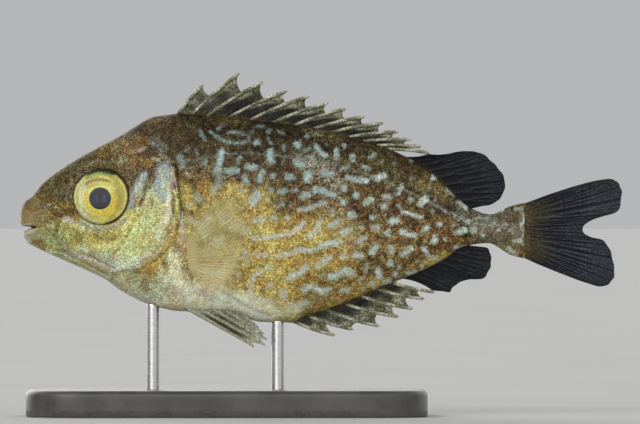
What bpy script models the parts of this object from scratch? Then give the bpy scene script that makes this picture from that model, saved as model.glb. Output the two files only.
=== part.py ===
"""A life-size still model of a young streaked spinefoot, held on a plain display stand.

Lengths below are millimetres on the fish: x runs back from the tip of the snout, z is the height above the
fish's own axis, and y is the distance from the middle plane, with the left flank at minus y. Blender's
own units are metres, and the frame stands on the floor with the fish's head towards minus X.
"""

import math
from typing import NamedTuple

import bmesh
import bpy
import numpy as np
from mathutils import Matrix, Vector

MM = 0.001
TOTAL_LENGTH = 90.2
AXIS_HEIGHT = 30.0
GAP = 0.3
FAR = 30.0
SHARP_DEG = 50
FIN_SHARP_DEG = 20

# The outline of the closed body without its fins, as (x, z), and half its breadth, as (x, y).
BACK = [
    (0.0, 0.45), (0.3, 1.5), (0.8, 2.3), (1.7, 2.95), (3.1, 4.75), (5.9, 7.0), (10.4, 9.7),
    (14.9, 12.1), (20.3, 15.0), (23.3, 15.3), (26.9, 15.05), (38.2, 14.0), (44.9, 13.0),
    (50.9, 11.4), (56.9, 9.4), (61.4, 6.7), (65.6, 2.7), (67.7, 1.15), (70.4, 0.3),
    (73.7, 1.6), (75.6, 2.0),
]
BELLY = [
    (0.0, -0.15), (0.3, -1.65), (0.7, -3.1), (1.2, -4.1), (1.9, -4.5), (5.9, -6.4), (10.4, -8.35),
    (12.7, -9.45), (14.9, -11.1), (20.3, -13.6), (24.0, -14.3), (31.6, -14.5), (36.2, -15.9),
    (40.4, -15.95), (42.7, -15.1), (47.9, -13.3), (53.9, -10.7), (59.2, -8.7), (63.7, -6.4),
    (66.2, -4.7), (70.1, -4.1), (73.7, -5.95), (75.6, -6.4),
]
BREADTH = [
    (0.0, 0.3), (0.3, 1.25), (0.8, 1.9), (1.7, 2.3), (3.1, 2.7), (5.9, 3.5), (10.4, 4.5),
    (14.9, 5.1), (20.3, 5.5), (26.9, 5.75), (34.4, 5.6), (42.7, 5.0), (50.9, 4.0), (56.9, 3.1),
    (61.4, 2.35), (65.9, 1.6), (70.1, 1.2), (75.6, 0.85),
]
BODY_END = 75.6
SNOUT_ROUNDING = 0.2
WIDEST_AT = 0.48
FLANK_FULLNESS = 0.92

# Each length of body as (first x, last x, rings, how closely the rings crowd towards the first).
HEAD_RINGS = (0.25, 24.6, 22, 1.6)
COVER_RINGS = (9.8, 24.6, 14, 1.0)
TRUNK_RINGS = (12.0, 68.2, 26, 1.0)
STEM_RINGS = (67.55, 75.6, 8, 1.0)
HEAD_SIDES = 34
TRUNK_SIDES = 30
STEM_SIDES = 22

# The gill opening, from above the nape down to below the throat, and the front edge of the gill cover.
GILL_SLIT = [
    (20.6, 17.4), (21.6, 13.2), (22.9, 10.0), (23.5, 7.2), (23.8, 3.9), (24.2, 0.6), (23.8, -2.1),
    (22.7, -4.5), (20.6, -6.4), (18.0, -8.0), (15.7, -9.2), (14.2, -11.0), (13.4, -13.5),
]
COVER_FRONT = [
    (14.2, -8.4), (16.2, -6.6), (17.2, -4.2), (17.7, -1.0), (17.9, 2.6), (18.5, 5.6), (20.0, 7.2),
    (22.0, 7.9),
]
COVER_PROUD = 0.3
COVER_DEPTH_Y = 2.9

# The mouth cleft and the line that parts the lower jaw from the head.
MOUTH_CORNER = (2.5, -1.65)
MOUTH_CORNER_HALF = 0.12
MOUTH_FRONT_Z = (-1.4, -2.65)
JAW_JOINT_LINE = [(3.7, -3.3), (5.6, -5.1), (6.6, -8.0)]
LIP_RADII = (0.16, 0.44)
LIP_HEIGHTS = {"upper": -0.9, "lower": -2.95}
LIP_SUNK = 0.24
LIP_CORNER_SHARE = 0.35
LIP_STEPS = 16

EYE_CENTRE = (12.2, 2.9)
EYE_RADIUS = 4.15
EYE_DOME = 1.05
EYE_DEPTH = 2.5
EYE_SUNK = 0.1
EYE_SEGMENTS = 30
RIM_THICKNESS = 0.34
RIM_SUNK = 0.05
SOCKET_HEIGHT = 2.5
# Each nostril as (x, z, radius).
NOSTRILS = [(6.9, 5.1, 0.26), (8.1, 5.9, 0.32)]
NOSTRIL_DEPTH = 0.7
NOSTRIL_TAPER = 0.7

# How far the roots of the fins in the middle plane stand off the body.
FIN_CLEAR = 0.35

# Each dorsal spine's root along the back, then its tip, as (root x, tip x, tip z).
DORSAL_SPINES = [
    (23.4, 27.5, 19.7), (25.4, 33.0, 21.5), (27.6, 36.6, 20.2), (30.6, 40.2, 18.8), (33.9, 43.5, 18.0),
    (37.3, 46.4, 17.0), (40.5, 49.0, 16.1), (43.4, 51.8, 14.9), (46.1, 54.6, 13.9), (48.6, 56.8, 12.6),
    (50.7, 58.8, 11.4), (52.6, 60.2, 10.35), (54.3, 61.4, 9.4),
]
ANAL_SPINES = [
    (40.5, 47.3, -17.9), (42.7, 50.0, -17.0), (45.3, 54.0, -16.5), (48.0, 56.9, -15.1),
    (50.6, 59.0, -13.9), (52.9, 60.7, -12.4), (55.3, 62.2, -11.4),
]
SPINE_HALF_WIDTH = 0.36
SPINE_HALVES = (0.45, 0.14)
SPINE_TIP_TAPER = 0.25
SPINE_LEAN = 0.1
NOTCH_AT = 0.52
NOTCH_CLEAR = 0.42
SHOULDER_AT = 0.86
SHOULDER_DROP = 0.3
SHOULDER_ROOT = 0.45
SPINY_ROWS = 6

# The soft fins: the x of their first and last root, and the outline round the ends of their rays.
SOFT_DORSAL_ROOTS = (58.6, 67.0)
SOFT_DORSAL_RAYS = 10
SOFT_DORSAL_EDGE = [
    (65.4, 9.65), (69.0, 9.45), (71.2, 8.0), (72.4, 6.3), (72.7, 4.6), (72.3, 3.1), (71.1, 1.95),
    (69.7, 1.55),
]
SOFT_ANAL_ROOTS = (57.9, 66.0)
SOFT_ANAL_RAYS = 9
SOFT_ANAL_EDGE = [
    (64.4, -11.4), (66.2, -9.95), (68.0, -9.5), (69.5, -9.4), (70.4, -8.0), (70.7, -6.7), (70.2, -4.9),
]
FIRST_RAY_SAG = 0.5
RAY_HALF_WIDTH = 0.2
RAY_END_SPREAD = 0.12
RAY_HALVES = (0.45, 0.25)
MEMBRANE_HALVES = (0.25, 0.16)
SOFT_ROWS = 6

# The tail fin's outline from the top root round to the bottom root.
TAIL_OUTLINE = [
    (79.5, 4.0), (83.8, 5.1), (87.0, 5.55), (88.9, 5.5), (89.9, 4.6), (90.2, 3.2), (89.6, 0.75),
    (87.2, -0.1), (85.3, -0.85), (84.3, -2.0), (85.3, -3.05), (87.3, -3.6), (88.4, -5.0),
    (88.95, -7.0), (89.1, -8.8), (88.5, -10.0), (87.2, -10.6), (85.0, -10.1), (81.3, -8.75), (77.6, -7.25),
]
TAIL_RAYS = 17
TAIL_ROWS = 7
TAIL_ROOT_GAP = 0.3

# The pectoral fin lies along the flank: its fleshy root, then the ends of its rays round a fan.
PECTORAL_ROOT = [(24.9, -3.2), (25.0, -5.0), (25.2, -6.9), (25.6, -8.8)]
PECTORAL_TIPS = [
    (29.6, 2.8), (31.6, 2.9), (33.2, 1.6), (34.1, -0.8), (34.2, -3.4), (33.6, -6.0), (32.6, -8.2),
    (31.0, -9.8), (29.0, -10.4),
]
PECTORAL_RAYS = 17
PECTORAL_LIFT = 1.5
PECTORAL_ROWS = 7
PECTORAL_BASE_HALF = 0.55
PECTORAL_BASE_SHARE = 0.16

# The pelvic fin: outer spine, three branched rays and inner spine, each as (root x, tip x, tip z, tip y).
PELVIC_RAYS = [
    (24.8, 35.0, -19.6, 3.1), (26.5, 36.7, -19.4, 2.7), (28.3, 37.0, -18.5, 2.4), (30.1, 36.6, -17.7, 2.1),
    (32.6, 35.7, -16.7, 1.7),
]
PELVIC_ROOT_Y = 1.5
PELVIC_TILT = 0.25
PELVIC_ROWS = 6
PELVIC_HALF_WIDTH = 0.3
PELVIC_CREST_HALVES = (0.48, 0.4, 0.38, 0.38, 0.45)
PELVIC_END_WIDTH = 0.12

BASE_LENGTH = 60.0
BASE_WIDTH = 30.0
BASE_HEIGHT = 4.0
BASE_CORNER = 8.0
BASE_BEVEL = 0.8
RODS = {"front": 19.9, "rear": 38.6}
ROD_RADIUS = 0.95
ROD_SIDES = 20
BASE_MIDDLE_X = 31.0

FINISHES = {
    "skin": ((0.33, 0.25, 0.10), 0.45, 0.15),
    "jaw": ((0.38, 0.31, 0.15), 0.45, 0.1),
    "gill_cover": ((0.47, 0.44, 0.22), 0.4, 0.2),
    "spiny_fin": ((0.30, 0.29, 0.20), 0.5, 0.0),
    "dark_fin": ((0.045, 0.045, 0.055), 0.5, 0.0),
    "clear_fin": ((0.52, 0.44, 0.22), 0.45, 0.0),
    "pelvic_fin": ((0.45, 0.45, 0.34), 0.45, 0.0),
    "eye": ((0.72, 0.56, 0.10), 0.12, 0.0),
    "stand_base": ((0.045, 0.042, 0.04), 0.35, 0.0),
    "stand_rod": ((0.62, 0.62, 0.60), 0.25, 1.0),
}


def smooth_curve(points):
    """A function of x through the points, which never overshoots between two of them."""
    xs, ys = (np.array(side, float) for side in zip(*points))
    steps = np.diff(xs)
    slopes = np.diff(ys) / steps
    tangents = np.zeros(len(xs))
    tangents[0], tangents[-1] = slopes[0], slopes[-1]
    for i in range(1, len(xs) - 1):
        if slopes[i - 1] * slopes[i] > 0:
            before = 2 * steps[i] + steps[i - 1]
            after = steps[i] + 2 * steps[i - 1]
            tangents[i] = (before + after) / (before / slopes[i - 1] + after / slopes[i])

    def value(x):
        x = float(min(max(x, xs[0]), xs[-1]))
        i = int(min(np.searchsorted(xs, x, side="right") - 1, len(steps) - 1))
        t = (x - xs[i]) / steps[i]
        return (
            ys[i] * (1 + 2 * t) * (1 - t) ** 2
            + ys[i + 1] * t * t * (3 - 2 * t)
            + steps[i] * (tangents[i] * t * (1 - t) ** 2 - tangents[i + 1] * t * t * (1 - t))
        )

    return value


back_z = smooth_curve(BACK)
belly_z = smooth_curve(BELLY)
half_breadth = smooth_curve(BREADTH)


def widest_z(x):
    """The height at which the body is broadest."""
    return belly_z(x) + WIDEST_AT * (back_z(x) - belly_z(x))


def flank_y(x, z):
    """How far the flank stands from the middle plane at a height."""
    middle = widest_z(x)
    reach = (back_z(x) if z > middle else belly_z(x)) - middle
    rise = min(1.0, abs((z - middle) / reach))
    return half_breadth(x) * math.sqrt(max(0.0, 1 - rise * rise)) ** FLANK_FULLNESS


def flank_normal(x, z):
    """The unit normal of the right flank, pointing out, at a place in side view."""
    step = 0.2
    slope_x = (flank_y(x + step, z) - flank_y(x - step, z)) / (2 * step)
    slope_z = (flank_y(x, z + step) - flank_y(x, z - step)) / (2 * step)
    return Vector((-slope_x, 1.0, -slope_z)).normalized()


def place(x, y, z):
    """A point on the fish, in Blender's metres."""
    return Vector(((x - TOTAL_LENGTH / 2) * MM, y * MM, (z + AXIS_HEIGHT) * MM))


def finish(name):
    """The material of one finish, made once."""
    if name in bpy.data.materials:
        return bpy.data.materials[name]
    colour, roughness, metallic = FINISHES[name]
    material = bpy.data.materials.new(name)
    material.use_nodes = True
    shader = material.node_tree.nodes["Principled BSDF"]
    shader.inputs["Base Color"].default_value = (*colour, 1.0)
    shader.inputs["Roughness"].default_value = roughness
    shader.inputs["Metallic"].default_value = metallic
    material.diffuse_color = (*colour, 1.0)
    return material


def new_object(name, points, faces, material=None, smooth=True):
    """A mesh object from points in metres, its faces turned outwards."""
    mesh = bpy.data.meshes.new(name)
    mesh.from_pydata([tuple(p) for p in points], [], faces)
    build = bmesh.new()
    build.from_mesh(mesh)
    bmesh.ops.recalc_face_normals(build, faces=build.faces)
    if build.calc_volume(signed=True) < 0:
        bmesh.ops.reverse_faces(build, faces=build.faces)
    build.to_mesh(mesh)
    build.free()
    obj = bpy.data.objects.new(name, mesh)
    bpy.context.scene.collection.objects.link(obj)
    if material:
        mesh.materials.append(finish(material))
        if smooth:
            mesh.shade_smooth()
            mesh.set_sharp_from_angle(angle=math.radians(SHARP_DEG))
    else:
        obj.hide_render = True
        obj.display_type = "WIRE"
    return obj


def section(x, sides, grow):
    """One ring of the body, from the right flank up and round, pushed out by grow."""
    middle = widest_z(x)
    ring = []
    for i in range(sides):
        angle = math.tau * i / sides
        across, up = math.cos(angle), math.sin(angle)
        y = math.copysign(abs(across) ** FLANK_FULLNESS, across) * (half_breadth(x) + grow)
        reach = (back_z(x) - middle) if up >= 0 else (middle - belly_z(x))
        ring.append((x, y, middle + up * (reach + grow)))
    return ring


def body_length(name, spread, sides, grow=0.0, material=None):
    """A closed length of the body through a spread of rings, its ends closed by fans."""
    first, last, count, crowding = spread
    stations = [first + (last - first) * (i / (count - 1)) ** crowding for i in range(count)]
    rings = [section(x, sides, grow) for x in stations]
    points = [place(*p) for ring in rings for p in ring]
    faces = []
    for k in range(len(rings) - 1):
        for i in range(sides):
            j = (i + 1) % sides
            faces.append((k * sides + i, k * sides + j, (k + 1) * sides + j, (k + 1) * sides + i))
    for ring, x in ((0, stations[0]), (len(rings) - 1, stations[-1])):
        tip = x - SNOUT_ROUNDING if x == HEAD_RINGS[0] else x
        points.append(place(tip, 0.0, widest_z(x)))
        faces += [(ring * sides + i, ring * sides + (i + 1) % sides, len(points) - 1) for i in range(sides)]
    return new_object(name, points, faces, material)


def prism(name, outline, low_y=-FAR, high_y=FAR):
    """A cutter: an outline in side view carried from one y to another."""
    count = len(outline)
    points = [place(x, y, z) for y in (low_y, high_y) for x, z in outline]
    faces = [(i, (i + 1) % count, count + (i + 1) % count, count + i) for i in range(count)]
    faces += [tuple(range(count)), tuple(range(count, 2 * count))]
    return new_object(name, points, faces)


def moved_outline(outline, by):
    """An open outline pushed to its left by a distance, corner by corner."""
    moved = []
    for i, (x, z) in enumerate(outline):
        before = outline[max(0, i - 1)]
        after = outline[min(len(outline) - 1, i + 1)]
        run = Vector((after[0] - before[0], after[1] - before[1])).normalized()
        moved.append((x - run.y * by, z + run.x * by))
    return moved


def largest_body(obj):
    """Keeps only the largest closed surface of a mesh, and triangulates it."""
    build = bmesh.new()
    build.from_mesh(obj.data)
    bmesh.ops.triangulate(build, faces=build.faces)
    left = set(build.faces)
    islands = []
    while left:
        start = left.pop()
        island, front = [start], [start]
        while front:
            face = front.pop()
            for edge in face.edges:
                for other in edge.link_faces:
                    if other in left:
                        left.remove(other)
                        island.append(other)
                        front.append(other)
        islands.append(island)
    islands.sort(key=lambda island: sum(f.calc_area() for f in island))
    dropped = [face for island in islands[:-1] for face in island]
    bmesh.ops.delete(build, geom=dropped, context="FACES")
    build.to_mesh(obj.data)
    build.free()


def combine(obj, others, operation):
    """One Boolean of an object with a collection of closed meshes, applied, with the others removed."""
    helpers = bpy.data.collections.new(f"{obj.name}_{operation.lower()}")
    bpy.context.scene.collection.children.link(helpers)
    for other in others:
        bpy.context.scene.collection.objects.unlink(other)
        helpers.objects.link(other)
    change = obj.modifiers.new(operation.lower(), "BOOLEAN")
    change.operation = operation
    change.operand_type = "COLLECTION"
    change.collection = helpers
    change.solver = "EXACT"
    graph = bpy.context.evaluated_depsgraph_get()
    mesh = bpy.data.meshes.new_from_object(obj.evaluated_get(graph))
    obj.modifiers.clear()
    obj.data = mesh
    for other in others:
        bpy.data.objects.remove(other)
    bpy.data.collections.remove(helpers)
    largest_body(obj)
    if obj.data.materials:
        obj.data.shade_smooth()
        obj.data.set_sharp_from_angle(angle=math.radians(SHARP_DEG))
    return obj


def sheet(name, middles, normals, halves, material):
    """A closed thin solid: a grid of middle points, each pushed both ways along its normal.

    Both faces split into triangles alike, so that they never cross where the sheet curves.
    """
    rows, columns = len(middles), len(middles[0])
    points, faces = [], []
    for side in (1, -1):
        for k in range(rows):
            for i in range(columns):
                middle, normal = Vector(middles[k][i]), Vector(normals[k][i])
                points.append(place(*(middle + normal * (halves[k][i] * side))))

    def at(side, k, i):
        return side * rows * columns + k * columns + i

    for side in (0, 1):
        for k in range(rows - 1):
            for i in range(columns - 1):
                a, b = at(side, k, i), at(side, k, i + 1)
                c, d = at(side, k + 1, i + 1), at(side, k + 1, i)
                faces += [(a, b, c), (a, c, d)]
    rim = [(0, i) for i in range(columns)] + [(k, columns - 1) for k in range(1, rows)]
    rim += [(rows - 1, i) for i in range(columns - 2, -1, -1)] + [(k, 0) for k in range(rows - 2, 0, -1)]
    for (k, i), (m, j) in zip(rim, rim[1:] + rim[:1]):
        faces += [(at(0, k, i), at(0, m, j), at(1, m, j)), (at(0, k, i), at(1, m, j), at(1, k, i))]
    obj = new_object(name, points, faces, material)
    obj.data.set_sharp_from_angle(angle=math.radians(FIN_SHARP_DEG))
    return obj


class Column(NamedTuple):
    """One line of a fin in the middle plane, from its root on the body out to the fin's edge."""

    root: tuple
    end: tuple
    root_half: float
    end_half: float
    lean: float = 0.0
    sag: float = 0.0


def flat_fin(name, columns, rows, material):
    """A fin in the middle plane: each column leans sideways and sags in z most at its middle."""
    middles, normals, halves = [], [], []
    for k in range(rows + 1):
        t = k / rows
        row = []
        for column in columns:
            x, z = between(column.root, column.end, t)
            row.append((x, column.lean * math.sin(math.pi * t), z + 4 * column.sag * t * (1 - t)))
        middles.append(row)
        normals.append([(0.0, 1.0, 0.0)] * len(columns))
        halves.append([c.root_half + (c.end_half - c.root_half) * t for c in columns])
    return sheet(name, middles, normals, halves, material)


def edge_point(edge, x, out):
    """A point off the back or belly line, a little outside it."""
    step = 0.25
    run = Vector((2 * step, edge(x + step) - edge(x - step))).normalized()
    side = 1 if out > 0 else -1
    return (x - run.y * side * abs(out), edge(x) + run.x * out)


def between(a, b, t):
    """The point a share of the way from one to the other."""
    return (a[0] + (b[0] - a[0]) * t, a[1] + (b[1] - a[1]) * t)


def beside(spot, along, across, back):
    """A spot moved square to a direction and back against it."""
    return (spot[0] - along.y * across - along.x * back, spot[1] + along.x * across - along.y * back)


def spiny_columns(spines, edge, out):
    """The columns of a fin of spines: three for each spine, and two in the notched membrane behind it."""
    columns = []
    roots = [edge_point(edge, x, out) for x, _, _ in spines]
    tips = [(x, z) for _, x, z in spines]
    for i, (root, tip) in enumerate(zip(roots, tips)):
        x = spines[i][0]
        lean = SPINE_LEAN if i % 2 else -SPINE_LEAN
        along = Vector((tip[0] - root[0], tip[1] - root[1])).normalized()
        aside = math.copysign(SPINE_HALVES[1], out)
        front_root = edge_point(edge, x - SPINE_HALF_WIDTH, out)
        rear_root = edge_point(edge, x + SPINE_HALF_WIDTH, out)
        front_tip = beside(tip, along, aside, SPINE_TIP_TAPER)
        rear_tip = beside(tip, along, -aside, SPINE_TIP_TAPER)
        columns.append(Column(front_root, front_tip, MEMBRANE_HALVES[0], SPINE_HALVES[1], lean))
        columns.append(Column(root, tip, *SPINE_HALVES, lean))
        columns.append(Column(rear_root, rear_tip, MEMBRANE_HALVES[0], SPINE_HALVES[1], lean))
        if i + 1 == len(spines):
            break
        next_root, next_tip, next_x = roots[i + 1], tips[i + 1], spines[i + 1][0]
        next_along = Vector((next_tip[0] - next_root[0], next_tip[1] - next_root[1])).normalized()
        notch_spine = between(next_root, next_tip, NOTCH_AT)
        notch = beside(notch_spine, next_along, math.copysign(NOTCH_CLEAR, out), 0.0)
        shoulder = between(between(root, tip, SHOULDER_AT), notch, SHOULDER_DROP)
        shoulder_root = edge_point(edge, x + (next_x - x) * SHOULDER_ROOT, out)
        notch_root = edge_point(edge, next_x - 2 * SPINE_HALF_WIDTH, out)
        columns.append(Column(shoulder_root, shoulder, *MEMBRANE_HALVES, lean / 2))
        columns.append(Column(notch_root, notch, *MEMBRANE_HALVES, -lean / 2))
    return columns


def soft_columns(roots, edge_line, rays, edge, out):
    """The columns of a soft fin: three for each ray, its two sides and its crest."""
    columns = []
    last = len(edge_line) - 1
    for i in range(rays):
        share = i / (rays - 1)
        sag = -math.copysign(FIRST_RAY_SAG, out) * (1 - share) ** 3
        for offset in (-1, 0, 1):
            x = roots[0] + (roots[1] - roots[0]) * share + offset * RAY_HALF_WIDTH
            at_edge = min(max(share * last + offset * RAY_END_SPREAD, 0.0), last)
            halves = RAY_HALVES if offset == 0 else MEMBRANE_HALVES
            end = along_outline(edge_line, at_edge)
            columns.append(Column(edge_point(edge, x, out), end, *halves, 0.0, sag))
    return columns


def along_outline(outline, share):
    """A point at a fractional index of an outline, on a smooth curve through its corners."""
    count = len(outline)
    i = int(min(max(share, 0), count - 1.0001))
    t = share - i
    p0, p1 = outline[max(0, i - 1)], outline[i]
    p2, p3 = outline[min(count - 1, i + 1)], outline[min(count - 1, i + 2)]
    return tuple(
        0.5 * (2 * b + (c - a) * t + (2 * a - 5 * b + 4 * c - d) * t * t + (3 * b - a - 3 * c + d) * t**3)
        for a, b, c, d in zip(p0, p1, p2, p3)
    )


def smoothed(outline, pieces=3):
    """An open outline with each stretch cut into pieces along a smooth curve."""
    count = (len(outline) - 1) * pieces
    return [along_outline(outline, i / pieces) for i in range(count)] + [outline[-1]]


def eye_bowl(grow):
    """The back of an eye, or of its socket, as (radius, height) from the bottom to the rim."""
    steps = 5
    angles = [math.radians(-90 + 90 * k / steps) for k in range(steps + 1)]
    bowl = [((EYE_RADIUS + grow) * math.cos(a), (EYE_DEPTH + grow) * math.sin(a)) for a in angles]
    return [(0.0, bowl[0][1]), *bowl[1:]]


def eye_profile():
    """The whole eye as (radius, height), from its back to the top of its dome."""
    steps = 5
    angles = [math.radians(90 * k / steps) for k in range(1, steps)]
    dome = [(EYE_RADIUS * math.cos(a), EYE_DOME * math.sin(a)) for a in angles]
    return [*eye_bowl(0.0), *dome, (0.0, EYE_DOME)]


def socket_profile():
    """The cutter of an eye's socket, straight-sided above the rim."""
    return [*eye_bowl(GAP), (EYE_RADIUS + GAP, SOCKET_HEIGHT), (0.0, SOCKET_HEIGHT)]


def skin_frame(x, z, sunk):
    """A centre a little under the right flank's skin, and the matrix whose third axis is its normal."""
    normal = flank_normal(x, z)
    centre = Vector((x, flank_y(x, z), z)) - normal * sunk
    across = normal.cross(Vector((1, 0, 0))).normalized()
    return centre, Matrix((across.cross(normal), across, normal)).transposed()


def turned(name, profile, segments, frame, side, material=None):
    """A closed turned solid on one side's skin, from (radius, height) pairs that end on the axis."""
    centre, turn = frame
    points, rings = [], []
    for radius, height in profile:
        count = 1 if radius == 0 else segments
        rings.append(list(range(len(points), len(points) + count)))
        for i in range(count):
            angle = math.tau * i / segments
            local = Vector((radius * math.cos(angle), radius * math.sin(angle), height))
            spot = centre + turn @ local
            points.append(place(spot.x, spot.y * side, spot.z))
    faces = []
    for low, high in zip(rings, rings[1:]):
        for i in range(segments):
            j = (i + 1) % segments
            corners = [low[i % len(low)], low[j % len(low)], high[j % len(high)], high[i % len(high)]]
            faces.append(tuple(dict.fromkeys(corners)))
    return new_object(name, points, faces, material)


def ring_tube(name, spots, radii, sides, is_closed, up):
    """A round tube through spots, a radius for each, closed on itself or capped; up is square to its run."""
    count = len(spots)
    points, faces = [], []
    for i, spot in enumerate(spots):
        before = spots[i - 1] if is_closed or i else spot
        after = spots[(i + 1) % count] if is_closed or i + 1 < count else spot
        run = (after - before).normalized()
        side = run.cross(up).normalized()
        top = side.cross(run)
        for k in range(sides):
            angle = math.tau * k / sides
            points.append(place(*(spot + (side * math.cos(angle) + top * math.sin(angle)) * radii[i])))
    for i in range(count if is_closed else count - 1):
        for k in range(sides):
            m, j = (i + 1) % count, (k + 1) % sides
            faces.append((i * sides + k, i * sides + j, m * sides + j, m * sides + k))
    if not is_closed:
        faces += [tuple(range(sides)), tuple(range((count - 1) * sides, count * sides))]
    return new_object(name, points, faces)


def orbit_rim(side):
    """The low fold of skin round an eye."""
    centre, turn = skin_frame(*EYE_CENTRE, EYE_SUNK)
    radius = EYE_RADIUS + GAP + RIM_THICKNESS * 0.6
    spots = []
    for i in range(EYE_SEGMENTS):
        angle = math.tau * i / EYE_SEGMENTS
        spot = centre + turn @ Vector((radius * math.cos(angle), radius * math.sin(angle), 0.0))
        out = flank_y(spot.x, spot.z)
        spots.append(Vector((spot.x, side * (out - RIM_SUNK), spot.z)))
    normal = turn.col[2]
    radii = [RIM_THICKNESS] * EYE_SEGMENTS
    return ring_tube(f"rim_{side}", spots, radii, 6, True, Vector((normal.x, normal.y * side, normal.z)))


def lip_roll(name, height):
    """A lip: a roll round the snout from one corner of the mouth to the other, thickest in front."""
    front_x = next(x for x in np.arange(0.0, MOUTH_CORNER[0], 0.02) if belly_z(x) < height)
    spots, radii = [], []
    for i in range(LIP_STEPS + 1):
        angle = math.pi * i / LIP_STEPS
        forward = math.sin(angle)
        x = MOUTH_CORNER[0] + (front_x - MOUTH_CORNER[0]) * forward
        z = MOUTH_CORNER[1] + (height - MOUTH_CORNER[1]) * min(1.0, LIP_CORNER_SHARE + forward**0.8)
        y = math.copysign(max(0.0, flank_y(x, z) - LIP_SUNK), math.cos(angle))
        spots.append(Vector((x + LIP_SUNK * forward, 0.0 if 2 * i == LIP_STEPS else y, z)))
        radii.append(LIP_RADII[0] + (LIP_RADII[1] - LIP_RADII[0]) * forward**0.6)
    return ring_tube(name, spots, radii, 8, False, Vector((0.0, 0.0, 1.0)))


def nostril(spot, side):
    """A cutter for one nostril: a short pit square to the snout."""
    x, z, radius = spot
    floor, top = (radius * NOSTRIL_TAPER, -NOSTRIL_DEPTH), (radius, NOSTRIL_DEPTH)
    profile = [(0.0, -NOSTRIL_DEPTH), floor, (radius, 0.0), top, (0.0, NOSTRIL_DEPTH)]
    return turned(f"nostril_{x}_{side}", profile, 8, skin_frame(x, z, 0.0), side)


def jaw_region(by):
    """The outline that holds the lower jaw, drawn in by a distance."""
    line = moved_outline([MOUTH_CORNER, *JAW_JOINT_LINE], -by)
    return [(-FAR, MOUTH_FRONT_Z[1]), *line, (line[-1][0], -FAR), (-FAR, -FAR)]


def mouth_wedge():
    """The open cleft between the lips, which narrows towards the corner of the mouth."""
    x, z = MOUTH_CORNER
    corner = [(x, z + MOUTH_CORNER_HALF), (x, z - MOUTH_CORNER_HALF)]
    return [(-1.0, MOUTH_FRONT_Z[0]), *corner, (-1.0, MOUTH_FRONT_Z[1])]


def head_region(by):
    """The outline in front of the gill opening, drawn back by a distance."""
    return [(-FAR, FAR), *moved_outline(smoothed(GILL_SLIT), -by), (-FAR, -FAR)]


def cover_region(by):
    """The gill cover's outline in side view, grown all round by a distance."""
    outline = [*smoothed(GILL_SLIT[3:-3]), *smoothed(COVER_FRONT)]
    grown = []
    for i, corner in enumerate(outline):
        before = Vector(corner) - Vector(outline[i - 1])
        after = Vector(outline[(i + 1) % len(outline)]) - Vector(corner)
        first = Vector((-before.y, before.x)).normalized()
        second = Vector((-after.y, after.x)).normalized()
        out = (first + second) / (1 + first.dot(second))
        grown.append((corner[0] + out.x * by, corner[1] + out.y * by))
    return grown


def build_flesh():
    """Head, lower jaw, gill covers, trunk and tail stem, parted by thin cuts."""
    half = GAP / 2
    wedge = mouth_wedge()
    lips = [lip_roll(f"lip_{name}", height) for name, height in LIP_HEIGHTS.items()]
    head = body_length("head", HEAD_RINGS, HEAD_SIDES, 0.0, "skin")
    combine(head, [orbit_rim(1), orbit_rim(-1), *lips], "UNION")
    jaw = head.copy()
    jaw.data = head.data.copy()
    jaw.name = "lower_jaw"
    bpy.context.scene.collection.objects.link(jaw)
    combine(jaw, [prism("jaw_keep", jaw_region(half))], "INTERSECT")
    combine(jaw, [prism("mouth_low", wedge)], "DIFFERENCE")
    jaw.data.materials.clear()
    jaw.data.materials.append(finish("jaw"))

    eye_place = skin_frame(*EYE_CENTRE, EYE_SUNK)
    sockets = [turned(f"socket_{side}", socket_profile(), EYE_SEGMENTS, eye_place, side) for side in (1, -1)]
    pits = [nostril(spot, side) for spot in NOSTRILS for side in (1, -1)]
    pockets = []
    for side in (1, -1):
        low, high = sorted((side * (COVER_DEPTH_Y - GAP), side * FAR))
        pockets.append(prism(f"pocket_{side}", cover_region(GAP), low, high))
    combine(head, [prism("head_keep", head_region(half))], "INTERSECT")
    combine(head, [prism("jaw_away", jaw_region(-half)), prism("mouth_up", wedge)], "DIFFERENCE")
    combine(head, [*sockets, *pits], "DIFFERENCE")
    combine(head, pockets, "DIFFERENCE")

    for side, name in ((1, "gill_cover_right"), (-1, "gill_cover_left")):
        cover = body_length(name, COVER_RINGS, HEAD_SIDES, COVER_PROUD, "gill_cover")
        low, high = sorted((side * COVER_DEPTH_Y, side * FAR))
        combine(cover, [prism(f"{name}_keep", cover_region(0.0), low, high)], "INTERSECT")
        combine(cover, [prism(f"{name}_slit", head_region(half))], "INTERSECT")

    trunk = body_length("trunk", TRUNK_RINGS, TRUNK_SIDES, 0.0, "skin")
    combine(trunk, [prism("head_away", head_region(-half))], "DIFFERENCE")
    cut_x = STEM_RINGS[0] - GAP
    stem_away = [(cut_x, FAR), (cut_x, -FAR), (cut_x + FAR, -FAR), (cut_x + FAR, FAR)]
    combine(trunk, [prism("stem_away", stem_away)], "DIFFERENCE")
    body_length("tail_stem", STEM_RINGS, STEM_SIDES, 0.0, "skin")


def build_eyes():
    """Each eye is one ball, a shallow dome in front and a deeper bowl behind."""
    for side, name in ((1, "eye_right"), (-1, "eye_left")):
        turned(name, eye_profile(), EYE_SEGMENTS, skin_frame(*EYE_CENTRE, EYE_SUNK), side, "eye")


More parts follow.
